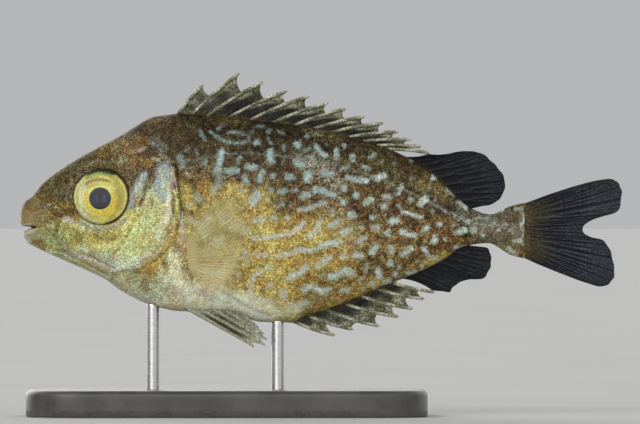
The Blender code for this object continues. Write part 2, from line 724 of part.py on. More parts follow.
def build_middle_fins():
    """The dorsal, anal and tail fins, which stand in the middle plane."""
    spiny_dorsal = spiny_columns(DORSAL_SPINES, back_z, FIN_CLEAR)
    spiny_anal = spiny_columns(ANAL_SPINES, belly_z, -FIN_CLEAR)
    soft_dorsal = soft_columns(SOFT_DORSAL_ROOTS, SOFT_DORSAL_EDGE, SOFT_DORSAL_RAYS, back_z, FIN_CLEAR)
    soft_anal = soft_columns(SOFT_ANAL_ROOTS, SOFT_ANAL_EDGE, SOFT_ANAL_RAYS, belly_z, -FIN_CLEAR)
    flat_fin("dorsal_fin_spines", spiny_dorsal, SPINY_ROWS, "spiny_fin")
    flat_fin("anal_fin_spines", spiny_anal, SPINY_ROWS, "spiny_fin")
    flat_fin("dorsal_fin_soft", soft_dorsal, SOFT_ROWS, "dark_fin")
    flat_fin("anal_fin_soft", soft_anal, SOFT_ROWS, "dark_fin")
    build_tail_fin()


def build_tail_fin():
    """The tail fin: rays that fan out from the end of the stem, ridged on both faces."""
    root_x = BODY_END + TAIL_ROOT_GAP
    top, bottom = (root_x, back_z(BODY_END)), (root_x, belly_z(BODY_END))
    last = len(TAIL_OUTLINE) - 1
    steps = 2 * TAIL_RAYS + 2
    columns = []
    for i in range(steps + 1):
        root, end = between(top, bottom, i / steps), along_outline(TAIL_OUTLINE, i / steps * last)
        columns.append(Column(root, end, *(RAY_HALVES if i % 2 else MEMBRANE_HALVES)))
    flat_fin("tail_fin", columns, TAIL_ROWS, "dark_fin")


def build_pectorals():
    """The pectoral fins: thin ridged fans that lie along the flanks and lift towards their ends."""
    count = 2 * PECTORAL_RAYS + 1
    for side, name in ((1, "pectoral_fin_right"), (-1, "pectoral_fin_left")):
        middles, normals, halves = [], [], []
        for k in range(PECTORAL_ROWS + 1):
            t = k / PECTORAL_ROWS
            row, row_normals, row_halves = [], [], []
            for i in range(count):
                share = i / (count - 1)
                root = along_outline(PECTORAL_ROOT, share * (len(PECTORAL_ROOT) - 1))
                end = along_outline(PECTORAL_TIPS, share * (len(PECTORAL_TIPS) - 1))
                x, z = between(root, end, t)
                normal = flank_normal(x, z)
                low, high = RAY_HALVES if i % 2 else MEMBRANE_HALVES
                half = low + (high - low) * t
                half += (PECTORAL_BASE_HALF - half) * max(0.0, 1 - t / PECTORAL_BASE_SHARE)
                lift = GAP + PECTORAL_BASE_HALF + PECTORAL_LIFT * t
                spot = Vector((x, flank_y(x, z), z)) + normal * lift
                row.append((spot.x, spot.y * side, spot.z))
                row_normals.append((normal.x, normal.y * side, normal.z))
                row_halves.append(half)
            middles.append(row)
            normals.append(row_normals)
            halves.append(row_halves)
        sheet(name, middles, normals, halves, "clear_fin")


def build_pelvics():
    """The pelvic fins: a strong outer spine, three rays and an inner spine, joined by membrane."""
    columns = []
    for (root_x, tip_x, tip_z, tip_y), crest in zip(PELVIC_RAYS, PELVIC_CREST_HALVES):
        for offset in (-1, 0, 1):
            x = root_x + offset * PELVIC_HALF_WIDTH
            root = Vector((x, PELVIC_ROOT_Y, belly_surface(x, PELVIC_ROOT_Y) - GAP - PELVIC_END_WIDTH))
            back = SPINE_TIP_TAPER if offset else 0.0
            end = Vector((tip_x + offset * PELVIC_END_WIDTH - back, tip_y, tip_z + offset * PELVIC_END_WIDTH))
            halves = MEMBRANE_HALVES if offset else (crest, RAY_HALVES[1])
            columns.append((root, end, *halves))
    for side, name in ((1, "pelvic_fin_right"), (-1, "pelvic_fin_left")):
        middles, normals, halves = [], [], []
        for k in range(PELVIC_ROWS + 1):
            t = k / PELVIC_ROWS
            row = [root.lerp(end, t) for root, end, _, _ in columns]
            middles.append([(p.x, p.y * side, p.z) for p in row])
            normals.append([Vector((0.0, side, PELVIC_TILT)).normalized()] * len(row))
            halves.append([low + (high - low) * t for _, _, low, high in columns])
        sheet(name, middles, normals, halves, "pelvic_fin")


def belly_surface(x, y):
    """The height of the underside at a distance from the middle plane."""
    middle = widest_z(x)
    across = min(1.0, abs(y) / half_breadth(x)) ** (1 / FLANK_FULLNESS)
    return middle - (middle - belly_z(x)) * math.sqrt(1 - across * across)


def stacked(name, rings, material, smooth):
    """A closed solid through rings of as many points each, its ends closed by one face each."""
    count = len(rings[0])
    faces = [tuple(range(count)), tuple(range((len(rings) - 1) * count, len(rings) * count))]
    for k in range(len(rings) - 1):
        for i in range(count):
            j = (i + 1) % count
            faces.append((k * count + i, k * count + j, (k + 1) * count + j, (k + 1) * count + i))
    return new_object(name, [point for ring in rings for point in ring], faces, material, smooth)


def base_ring(inset, height):
    """The base's outline with its rounded corners, drawn in by an inset, at a height over the floor."""
    ring = []
    steps = 6
    for corner in range(4):
        middle_x = (BASE_LENGTH / 2 - BASE_CORNER) * (1 if corner in (0, 3) else -1)
        middle_y = (BASE_WIDTH / 2 - BASE_CORNER) * (1 if corner in (0, 1) else -1)
        for step in range(steps + 1):
            angle = math.radians(90 * (corner + step / steps))
            x = BASE_MIDDLE_X + middle_x + (BASE_CORNER - inset) * math.cos(angle)
            y = middle_y + (BASE_CORNER - inset) * math.sin(angle)
            ring.append(place(x, y, height - AXIS_HEIGHT))
    return ring


def build_stand():
    """A flat base with rounded corners, and two rods whose tops follow the belly."""
    levels = [(0.0, 0.0), (0.0, BASE_HEIGHT - BASE_BEVEL), (BASE_BEVEL, BASE_HEIGHT)]
    stacked("stand_base", [base_ring(*level) for level in levels], "stand_base", smooth=False)
    angles = [math.tau * i / ROD_SIDES for i in range(ROD_SIDES)]
    for name, rod_x in RODS.items():
        foot, top = [], []
        for angle in angles:
            x, y = rod_x + ROD_RADIUS * math.cos(angle), ROD_RADIUS * math.sin(angle)
            foot.append(place(x, y, BASE_HEIGHT + GAP - AXIS_HEIGHT))
            top.append(place(x, y, belly_surface(x, y) - GAP))
        stacked(f"stand_rod_{name}", [foot, top], "stand_rod", smooth=True)


def main():
    """Clears the scene and builds the fish and its stand."""
    for obj in list(bpy.data.objects):
        bpy.data.objects.remove(obj)
    build_flesh()
    build_eyes()
    build_middle_fins()
    build_pectorals()
    build_pelvics()
    build_stand()


main()
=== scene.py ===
"""The looks of a life-size still model of a young streaked spinefoot, held on a plain display stand.

Lengths are millimetres on the fish, as in the source of the frame: x runs back from the tip of the snout, z
is the height above the fish's own axis, and y is the distance from the middle plane, the left flank at
minus y.
"""

import logging
import math
from dataclasses import dataclass, field
from enum import Enum
from typing import Callable, Sequence, Union

import bmesh
import bpy
import numpy as np
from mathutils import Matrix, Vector


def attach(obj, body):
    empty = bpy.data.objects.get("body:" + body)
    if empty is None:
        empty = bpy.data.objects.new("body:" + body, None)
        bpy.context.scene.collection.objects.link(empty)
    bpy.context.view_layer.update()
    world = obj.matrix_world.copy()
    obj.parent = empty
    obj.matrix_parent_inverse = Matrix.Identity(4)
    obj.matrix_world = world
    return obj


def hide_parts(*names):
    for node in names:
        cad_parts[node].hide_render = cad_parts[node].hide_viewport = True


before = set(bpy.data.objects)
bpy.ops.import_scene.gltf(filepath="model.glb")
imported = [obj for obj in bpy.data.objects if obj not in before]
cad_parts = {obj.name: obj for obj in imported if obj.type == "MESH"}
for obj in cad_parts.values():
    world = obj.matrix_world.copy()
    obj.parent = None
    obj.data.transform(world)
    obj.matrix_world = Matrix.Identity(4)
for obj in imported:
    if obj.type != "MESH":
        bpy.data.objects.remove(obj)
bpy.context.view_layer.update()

LOG = logging.getLogger("spinefoot")
MM = 0.001
TOTAL_LENGTH = 90.2
AXIS_HEIGHT = 30.0
STEM_END = 75.6
SHARP_ANGLE = math.radians(55)
SIDEWAYS = np.array([0.0, 1.0, 0.0])

Array = np.ndarray
Line = Sequence[tuple[float, ...]]
Tone = tuple[float, float, float]
WHITE: Tone = (1.0, 1.0, 1.0)
Paint = dict[str, Array]

BACK = [
    (0, 0.45), (0.3, 1.5), (0.8, 2.3), (1.7, 2.95), (3.1, 4.75), (5.9, 7), (10.4, 9.7), (14.9, 12.1),
    (20.3, 15), (23.3, 15.3), (26.9, 15.05), (38.2, 14), (44.9, 13), (50.9, 11.4), (56.9, 9.4), (61.4, 6.7),
    (65.6, 2.7), (67.7, 1.15), (70.4, 0.3), (73.7, 1.6), (75.6, 2),
]
BELLY = [
    (0, -0.15), (0.3, -1.65), (0.7, -3.1), (1.2, -4.1), (1.9, -4.5), (5.9, -6.4), (10.4, -8.35),
    (12.7, -9.45), (14.9, -11.1), (20.3, -13.6), (24, -14.3), (31.6, -14.5), (36.2, -15.9), (40.4, -15.95),
    (42.7, -15.1), (47.9, -13.3), (53.9, -10.7), (59.2, -8.7), (63.7, -6.4), (66.2, -4.7), (70.1, -4.1),
    (73.7, -5.95), (75.6, -6.4),
]
BREADTH = [
    (0, 0.3), (0.3, 1.25), (0.8, 1.9), (1.7, 2.3), (3.1, 2.7), (5.9, 3.5), (10.4, 4.5), (14.9, 5.1),
    (20.3, 5.5), (26.9, 5.75), (34.4, 5.6), (42.7, 5), (50.9, 4), (56.9, 3.1), (61.4, 2.35), (65.9, 1.6),
    (70.1, 1.2), (75.6, 0.85),
]

GILL_SLIT = [
    (20.6, 17.4), (21.6, 13.2), (22.9, 10), (23.5, 7.2), (23.8, 3.9), (24.2, 0.6), (23.8, -2.1),
    (22.7, -4.5), (20.6, -6.4), (18, -8), (15.7, -9.2), (14.2, -11), (13.4, -13.5),
]
COVER_FRONT = [
    (14.2, -8.4), (16.2, -6.6), (17.2, -4.2), (17.7, -1), (17.9, 2.6), (18.5, 5.6), (20, 7.2), (22, 7.9),
]
BONY_RIM = [
    (22.9, 6.6), (23.3, 4.2), (23.2, 1.6), (22.8, -0.8), (22.2, -2.4), (21.3, -3.9), (20.2, -5.3),
    (18.8, -6.5), (17.4, -7.3), (15.8, -8),
]
LATERAL_LINE = [
    (21.8, 8), (25.5, 8.3), (29, 9), (33, 9.4), (37, 9.2), (41, 8.7), (46, 7.9), (51, 6.5), (56, 4.6),
    (61, 2.2), (65, 0.2), (69, -1.2), (75, -1.7),
]

MOUTH_CORNER = (2.5, -1.65)
UPPER_LIP = [(2.5, -1.3), (1.4, -1.15), (0.2, -0.85)]
LOWER_LIP = [(2.5, -2.0), (1.4, -2.6), (0.7, -3.05)]
EYE_CENTRE = (12.2, 2.9)
PUPIL_CENTRE = (12.07, 2.62)
IRIS_CREASE = [(10, 4.75), (10.5, 5.15), (11.3, 5.4), (12.2, 5.45), (13.2, 5.25)]
# The jagged lower edge of the painted shade over the top of the iris, each as a short line.
TOP_SHADE_NOTCHES = [
    [(12.5, 6.8), (12.55, 6.35)], [(12.85, 6.7), (12.9, 6.2)], [(13.25, 6.6), (13.2, 6.3)],
    [(13.6, 6.5), (13.65, 6.05)],
]

# Each spine's root along the back or the belly, then its tip, as (root x, tip x, tip z).
DORSAL_SPINES = [
    (23.4, 27.5, 19.7), (25.4, 33, 21.5), (27.6, 36.6, 20.2), (30.6, 40.2, 18.8), (33.9, 43.5, 18),
    (37.3, 46.4, 17), (40.5, 49, 16.1), (43.4, 51.8, 14.9), (46.1, 54.6, 13.9), (48.6, 56.8, 12.6),
    (50.7, 58.8, 11.4), (52.6, 60.2, 10.35), (54.3, 61.4, 9.4),
]
ANAL_SPINES = [
    (40.5, 47.3, -17.9), (42.7, 50, -17), (45.3, 54, -16.5), (48, 56.9, -15.1), (50.6, 59, -13.9),
    (52.9, 60.7, -12.4), (55.3, 62.2, -11.4),
]
SOFT_DORSAL_EDGE = [
    (61.2, 9.3), (62.6, 9.2), (64.2, 9.35), (65.6, 9.65), (67.3, 9.75), (69.2, 9.4), (70.4, 8.5),
    (71.4, 7.5), (72.2, 6.5), (72.65, 5.5), (72.7, 4.5), (72.4, 3.3), (71.5, 2.2), (70.4, 1.65), (69.3, 1.5),
]
SOFT_ANAL_EDGE = [
    (61.9, -11.2), (63.2, -11.3), (64.4, -11.4), (65, -10.6), (65.9, -10), (66.9, -9.6), (68.2, -9.5),
    (69.4, -9.4), (70.2, -8.4), (70.6, -7.3), (70.6, -6.1), (70.2, -4.9), (69.2, -4.6),
]
TAIL_OUTLINE = [
    (79.5, 3.35), (83.8, 4.7), (87, 5.45), (88.9, 5.5), (89.9, 4.6), (90.2, 3.2), (89.6, 0.75), (87.2, -0.1),
    (85.3, -0.85), (84.3, -2), (85.3, -3.05), (87.3, -3.6), (88.4, -5), (88.95, -7), (89.1, -8.8),
    (88.5, -10), (87.2, -10.6), (85, -10.1), (81.3, -8.75), (77.6, -7.25),
]
PECTORAL_ROOT = [(24.9, -3.2), (25.0, -5.0), (25.2, -6.9), (25.6, -8.8)]
PECTORAL_TIPS = [
    (29.6, 2.8), (31.6, 2.9), (33.2, 1.6), (34.1, -0.8), (34.2, -3.4), (33.6, -6), (32.6, -8.2), (31, -9.8),
    (29, -10.4),
]
# Each ray of a pelvic fin, from the outer spine to the inner one, as (root x, tip x, tip z, tip y).
PELVIC_RAYS = [
    (24.8, 35, -19.6, 3.1), (26.5, 36.7, -19.4, 2.7), (28.3, 37, -18.5, 2.4), (30.1, 36.6, -17.7, 2.1),
    (32.6, 35.7, -16.7, 1.7),
]

# The pale marks of the flank, each as (half width, strength, then the points of its line).
MARKS = [
    (0.23, 0.7, 27, 12.7, 27.2, 12.2), (0.2, 0.7, 27.5, 11.8, 27.8, 11.3),
    (0.2, 0.8, 28.6, 12.6, 29.4, 11.9), (0.21, 0.6, 29.6, 12.9, 30.4, 13.6),
    (0.2, 0.85, 31.3, 12.5, 32.4, 12.6, 33.5, 12.2), (0.26, 0.85, 30, 11.6, 30.7, 11.1, 31.8, 11),
    (0.26, 0.85, 32.5, 10.9, 33.8, 11), (0.21, 0.6, 34.2, 11.6, 34.3, 12), (0.56, 1, 35.5, 11),
    (0.2, 0.7, 35.7, 13.4, 36.4, 13.5), (0.25, 0.7, 37.1, 12.4, 37.4, 13),
    (0.17, 0.7, 37.1, 11.6, 37.6, 10.9), (0.21, 0.5, 38.7, 12.7, 39.4, 12.4),
    (0.2, 0.7, 39.4, 10.6, 39.7, 9.9), (0.63, 1, 41.6, 10.7), (0.33, 0.8, 43, 11.9), (0.3, 0.7, 43.3, 10.1),
    (0.36, 1, 44.3, 10.5, 45.6, 8.9), (0.2, 0.4, 44.4, 12.4), (0.3, 0.4, 34.9, 12.7),
    (0.56, 0.95, 30.3, 9.6, 30, 8.2, 29.6, 6.9), (0.5, 0.55, 29.6, 6.9, 30, 5, 28.9, 3.6),
    (0.46, 0.8, 27.8, 7.9), (0.36, 0.75, 32.9, 8.7, 32.6, 8.2), (0.63, 1, 37.5, 9.5, 37.5, 8.4),
    (0.6, 0.9, 31.2, 6.6, 32.4, 6.8), (0.46, 0.95, 34.1, 7.3, 35.2, 7.3), (0.5, 0.9, 36.4, 6.6, 35.8, 5.2),
    (0.58, 0.7, 33.7, 5.8, 33.9, 5.2), (0.56, 0.5, 33.1, 3.9), (0.5, 0.8, 37.9, 5.9), (0.33, 0.5, 39.7, 8.1),
    (0.5, 0.95, 40, 5.9, 40.7, 5.7), (0.63, 0.9, 41.4, 8.1, 42.3, 7.6), (0.66, 1, 43.2, 6.2, 43.1, 5.5),
    (0.4, 0.7, 43.7, 8.7), (0.53, 1, 45.3, 6.5), (0.76, 0.9, 35.5, 3.2, 35, 2.1), (0.46, 0.6, 37.6, 3.9),
    (0.46, 0.7, 39, 3.6, 39.7, 3.8), (0.46, 0.6, 41.3, 3.9), (0.58, 0.85, 42.3, 3, 43.1, 3.3),
    (0.56, 1, 44.2, 3.9, 45.6, 3.8), (0.33, 0.4, 37.1, 2.6), (0.4, 0.6, 38.5, 1.5, 39.4, 1.7),
    (0.46, 0.85, 42, 1, 43.4, 1.2, 45.6, 2), (0.4, 0.5, 40.7, 1.5), (0.46, 0.5, 26.3, 3.2, 27, 2.4),
    (0.46, 0.6, 25.3, 1.6), (0.53, 0.6, 24, 8.7, 24.4, 7.5), (0.21, 0.5, 26.3, 9.9, 26.6, 9.3),
    (0.2, 0.5, 25.3, 10.2, 24.9, 9.8),
    (0.41, 0.9, 34.8, -3.2, 35.9, -3.4, 38.4, -3, 40.3, -2.7, 42, -1.6, 42.5, -1),
    (0.46, 0.8, 35.1, -0.6, 36.4, -0.6), (0.41, 0.6, 37.7, -0.3, 38.4, -0.6), (0.46, 0.6, 40.2, -0.2),
    (0.5, 0.8, 44.8, -1, 44.5, -2.2, 43.4, -2.9), (0.4, 0.8, 35.3, -5.9, 37, -5.8),
    (0.41, 0.9, 38.5, -6, 39.6, -5.8, 41, -5.4, 42, -4.9, 43.1, -5.2, 44.3, -4.9, 45.7, -4.4),
    (0.33, 0.8, 33.8, -5.1, 34.1, -6, 34, -7.2), (0.26, 0.7, 33, -6.3, 33.9, -6.2),
    (0.4, 0.9, 37.4, -7.6, 36.4, -8.1, 35.1, -8.9, 34.6, -10, 34.5, -11.4, 34.7, -12.9),
    (0.46, 0.6, 37, -10.6, 37.7, -10.3), (0.53, 0.9, 40.1, -9.4, 41, -8.9, 42, -8.5, 42.9, -7.6),
    (0.66, 0.85, 39.4, -11.4, 39.5, -12.1), (0.53, 1, 42.6, -11, 43.4, -10.6, 44.2, -10.7, 45.5, -11.4),
    (0.46, 0.8, 40.3, -13.7, 42, -13.2, 43, -13), (0.5, 0.8, 44.5, -7.5, 45.7, -6.7),
    (0.56, 0.6, 32.7, -8.9), (0.36, 0.6, 31.9, -10.1),
    (0.43, 0.85, 30.2, -11.5, 32.1, -12.6, 33.9, -13.7, 35.5, -14.5, 37.3, -15),
    (0.66, 0.4, 37.7, -12.6, 36.1, -13), (0.58, 0.5, 25.3, -0.6, 26.1, -0.7), (0.46, 0.4, 45.2, -9.1),
    (0.46, 1, 44.9, 9.5, 45.7, 9), (0.36, 1, 47.4, 9.9, 47.3, 8.6), (0.33, 0.9, 48.5, 10.5),
    (0.21, 0.5, 46, 10.6), (0.36, 1, 49.8, 9, 49.9, 8.3), (0.23, 0.8, 52.4, 8.8, 53.2, 9.3),
    (0.3, 0.75, 48.1, 7, 49.2, 7.4), (0.3, 0.8, 51.3, 7.5, 52.2, 7.1), (0.43, 1, 45.2, 6.4, 46.8, 6.3),
    (0.46, 1, 49.1, 5.7, 49.7, 5.5, 50.7, 5.4, 51.9, 5.3), (0.5, 1, 53.3, 5.6, 54.4, 6),
    (0.5, 0.9, 48.6, 4.2), (0.3, 0.6, 47.5, 4.7), (0.5, 1, 44.9, 3.9, 45.8, 3.4, 47.1, 3.1),
    (0.56, 0.95, 50.3, 3.1), (0.63, 0.95, 48.4, 2.1), (0.43, 0.95, 52.6, 2.4, 51.7, 1.9),
    (0.4, 0.95, 54.5, 2.9, 55.3, 2.9), (0.36, 0.9, 57.1, 4.4, 56.6, 3.4), (0.46, 0.85, 58.5, 2.5),
    (0.56, 0.95, 60.7, 2.6, 60.1, 1.9), (0.6, 0.8, 54.6, 1.5), (0.26, 0.6, 56.6, 1.6, 57, 1.1),
    (0.33, 0.95, 57.5, 0.6, 58.7, 0.2, 60, -0.2), (0.26, 0.8, 56.1, 7.8), (0.23, 0.5, 54.2, 8.1),
    (0.33, 0.5, 58.7, 8.3), (0.2, 0.4, 56.3, 6), (0.26, 0.4, 58.6, 5.7), (0.3, 0.5, 61.1, 4.1),
    (0.45, 1, 61.9, 5.8), (0.45, 1, 64.2, 4), (0.2, 0.9, 64.2, 3.7, 65, 3.2), (0.4, 0.9, 65.8, 2, 66.8, 1.3),
    (0.33, 0.8, 61.8, 0.8), (0.36, 0.8, 63.7, 0.8), (0.33, 0.7, 65.1, 0.1), (0.43, 0.8, 67.1, -0.8),
    (0.66, 1, 49.7, 0.2), (0.53, 0.8, 52.8, -0.2), (0.56, 0.5, 45.4, 1.8), (0.5, 0.5, 46.6, 0.7),
    (0.43, 0.5, 45.1, -0.5), (0.3, 0.4, 62.2, 2.4), (0.5, 0.95, 46.5, -1.5, 47.5, -0.9),
    (0.56, 0.95, 48.3, -2.5, 49.2, -2.2), (0.46, 0.6, 51.2, -1.7), (0.5, 0.7, 53, -1.7, 53.5, -1.8),
    (0.53, 1, 55.5, -0.8, 56.4, -0.7), (0.6, 0.85, 55.1, -2.6),
    (0.46, 0.95, 57.2, -2.4, 58.1, -2.8, 59.1, -2.9), (0.5, 0.9, 60.5, -2.1, 61, -1.7), (0.5, 1, 62.8, -1.3),
    (0.26, 0.9, 65, -1.4), (0.46, 0.8, 67.1, -0.8), (0.46, 1, 65.5, -2.5, 66.6, -2.1),
    (0.63, 0.6, 67.9, -2.1), (0.43, 1, 62.2, -3.1, 61.9, -3.9), (0.33, 0.9, 63.7, -3.4),
    (0.46, 0.9, 50.7, -3.8, 51.7, -3.2), (0.53, 0.95, 45.2, -4.5, 46.6, -4, 47.5, -4),
    (0.56, 1, 53.3, -4.6, 52.7, -5.4), (0.46, 0.85, 55.4, -4.6, 55.6, -5.3),
    (0.46, 1, 58.5, -4.9, 57.3, -5.7), (0.43, 0.95, 60.5, -5, 61, -5.7), (0.3, 0.7, 61.6, -6.1, 63, -6.8),
    (0.6, 0.75, 48.4, -6.1), (0.43, 0.95, 50.2, -5.9, 51, -6), (0.5, 0.9, 45.2, -6.9, 46.3, -6.3),
    (0.56, 0.95, 55.4, -7.1), (0.4, 0.7, 56.8, -7.6), (0.36, 0.6, 51.8, -7.4, 51.8, -8.2),
    (0.56, 0.9, 53.6, -8.2, 53.8, -9), (0.53, 0.95, 46.4, -9.2, 47.7, -8.7, 48.8, -8.2, 49.7, -8.5),
    (0.33, 1, 51.1, -9.4), (0.4, 1, 56.2, -8.7), (0.43, 0.8, 52.7, -10.1, 53.1, -10.7),
    (0.5, 0.95, 44.9, -11.4, 46.2, -11), (0.4, 1, 48.1, -11.1, 49.1, -11.1),
    (0.43, 1, 54.6, -10, 55.2, -9.8), (0.33, 0.6, 60.2, -7.4, 60.2, -8), (0.4, 0.8, 65.2, -4.7, 66.2, -4.8),
    (0.36, 1, 58.1, -8.6, 59.1, -8.4), (0.3, 0.9, 51.4, -11), (0.33, 0.9, 48, -12.7), (0.3, 0.7, 67.2, -0.7),
    (0.45, 0.55, 68.1, -2), (0.35, 1, 69.4, -2.9), (0.25, 1, 71.7, -2.1),
    (0.14, 0.7, 68.4, -0.36, 69.1, -0.3), (0.25, 0.5, 69.9, -0.4), (0.2, 0.7, 71.1, -1.05),
    (0.15, 0.7, 72.5, -1.2, 72.9, -1.4), (0.35, 0.5, 73.6, -2.2), (0.45, 0.6, 66.2, 1.6),
    (0.14, 0.7, 72, 0.6, 72.4, 0.85), (0.3, 0.6, 74.3, 1.1, 75, 1.1),
    (0.22, 1, 75.35, 0.2, 75.55, -0.6, 75.4, -1.1), (0.22, 1, 75, -1.2, 75.05, -1.8),
    (0.3, 1, 74.1, -3.9, 75, -3.6), (0.18, 1, 75.3, -2.9, 75.15, -4.1), (0.35, 0.7, 73.2, -4.9, 73.9, -5.4),
]


class Side(Enum):
    """A flank of the fish, by the sign of its y."""

    RIGHT = 1
    LEFT = -1


class Hue(Enum):
    """The paints of the model, as linear colours."""

    BACK = (0.018, 0.013, 0.007)
    BROWN = (0.046, 0.032, 0.013)
    RED_BROWN = (0.084, 0.054, 0.023)
    GOLD = (0.385, 0.305, 0.105)
    OCHRE = (0.165, 0.118, 0.044)
    CREAM = (0.67, 0.71, 0.6)
    OLIVE = (0.066, 0.052, 0.019)
    CROWN = (0.138, 0.102, 0.076)
    DARK_GOLD = (0.086, 0.06, 0.007)
    CHEEK = (0.52, 0.54, 0.24)
    GREEN_GOLD = (0.44, 0.48, 0.265)
    SILVER_BLUE = (0.285, 0.35, 0.41)
    SILVER = (0.51, 0.575, 0.5)
    ORANGE = (0.185, 0.112, 0.02)
    MEMBRANE_ORANGE = (0.47, 0.42, 0.18)
    TAN = (0.185, 0.145, 0.068)
    PINK = (0.3, 0.25, 0.17)
    PLUM = (0.075, 0.05, 0.043)
    LILAC = (0.42, 0.405, 0.405)
    GREY_BROWN = (0.115, 0.088, 0.055)
    GREY_BLUE = (0.13, 0.14, 0.14)
    MAROON = (0.125, 0.066, 0.048)
    BREAST = (0.345, 0.355, 0.25)
    MARK_TEAL = (0.275, 0.375, 0.38)
    MARK_WARM = (0.45, 0.48, 0.425)
    MARK_MINT = (0.43, 0.51, 0.475)
    STEM = (0.084, 0.082, 0.066)
    IRIS_YELLOW = (0.49, 0.48, 0.12)
    IRIS_GOLD = (0.535, 0.415, 0.058)
    IRIS_CREAM = (0.53, 0.545, 0.29)
    IRIS_OLIVE = (0.35, 0.3, 0.07)
    IRIS_RUST = (0.21, 0.095, 0.01)
    IRIS_GREEN = (0.21, 0.26, 0.085)
    IRIS_PALE = (0.64, 0.58, 0.17)
    EYE_BROWN = (0.06, 0.03, 0.018)
    EYE_BLACK = (0.014, 0.016, 0.01)
    PUPIL = (0.012, 0.017, 0.026)
    PUPIL_SHEEN = (0.06, 0.072, 0.105)
    FIN_OLIVE = (0.11, 0.112, 0.066)
    FIN_DARK = (0.006, 0.006, 0.007)
    FIN_PALE = (0.045, 0.047, 0.036)
    SPINE_WHITE = (0.33, 0.345, 0.285)
    SPINE_PINK = (0.34, 0.31, 0.26)
    CHARCOAL = (0.0045, 0.0045, 0.006)
    RAY_GREY = (0.023, 0.026, 0.034)
    RUSSET = (0.14, 0.08, 0.035)
    TAIL_RAY = (0.05, 0.056, 0.073)
    TAIL_ORANGE = (0.125, 0.078, 0.026)
    TAIL_BASE = (0.075, 0.06, 0.032)
    PECTORAL_PALE = (0.76, 0.68, 0.33)
    PECTORAL_RAY = (0.18, 0.12, 0.03)
    PELVIC_WHITE = (0.255, 0.27, 0.215)
    PELVIC_DARK = (0.04, 0.034, 0.018)


@dataclass(frozen=True)
class Stroke:
    """A soft brush stroke in side view: its line, half its width, its paint and how fully it covers."""

    tone: Hue
    strength: float
    width: float
    line: Line
    soft: float = 0.6

    def weight(self, x: Array, z: Array) -> Array:
        """How much of the stroke lies at each place."""
        away = distance_to(self.line, x, z)
        inner, outer = self.width * (1 - self.soft), self.width * (1 + self.soft)
        return self.strength * (1 - ramp(away, inner, outer))


def pairs(numbers: Sequence[float]) -> Line:
    """Points from a row of their numbers."""
    return list(zip(numbers[::2], numbers[1::2]))


def strokes(*rows: tuple) -> list[Stroke]:
    """Strokes from rows of (tone, strength, half width, softness, then the points of the line)."""
    return [Stroke(tone, force, width, pairs(numbers), soft) for tone, force, width, soft, *numbers in rows]


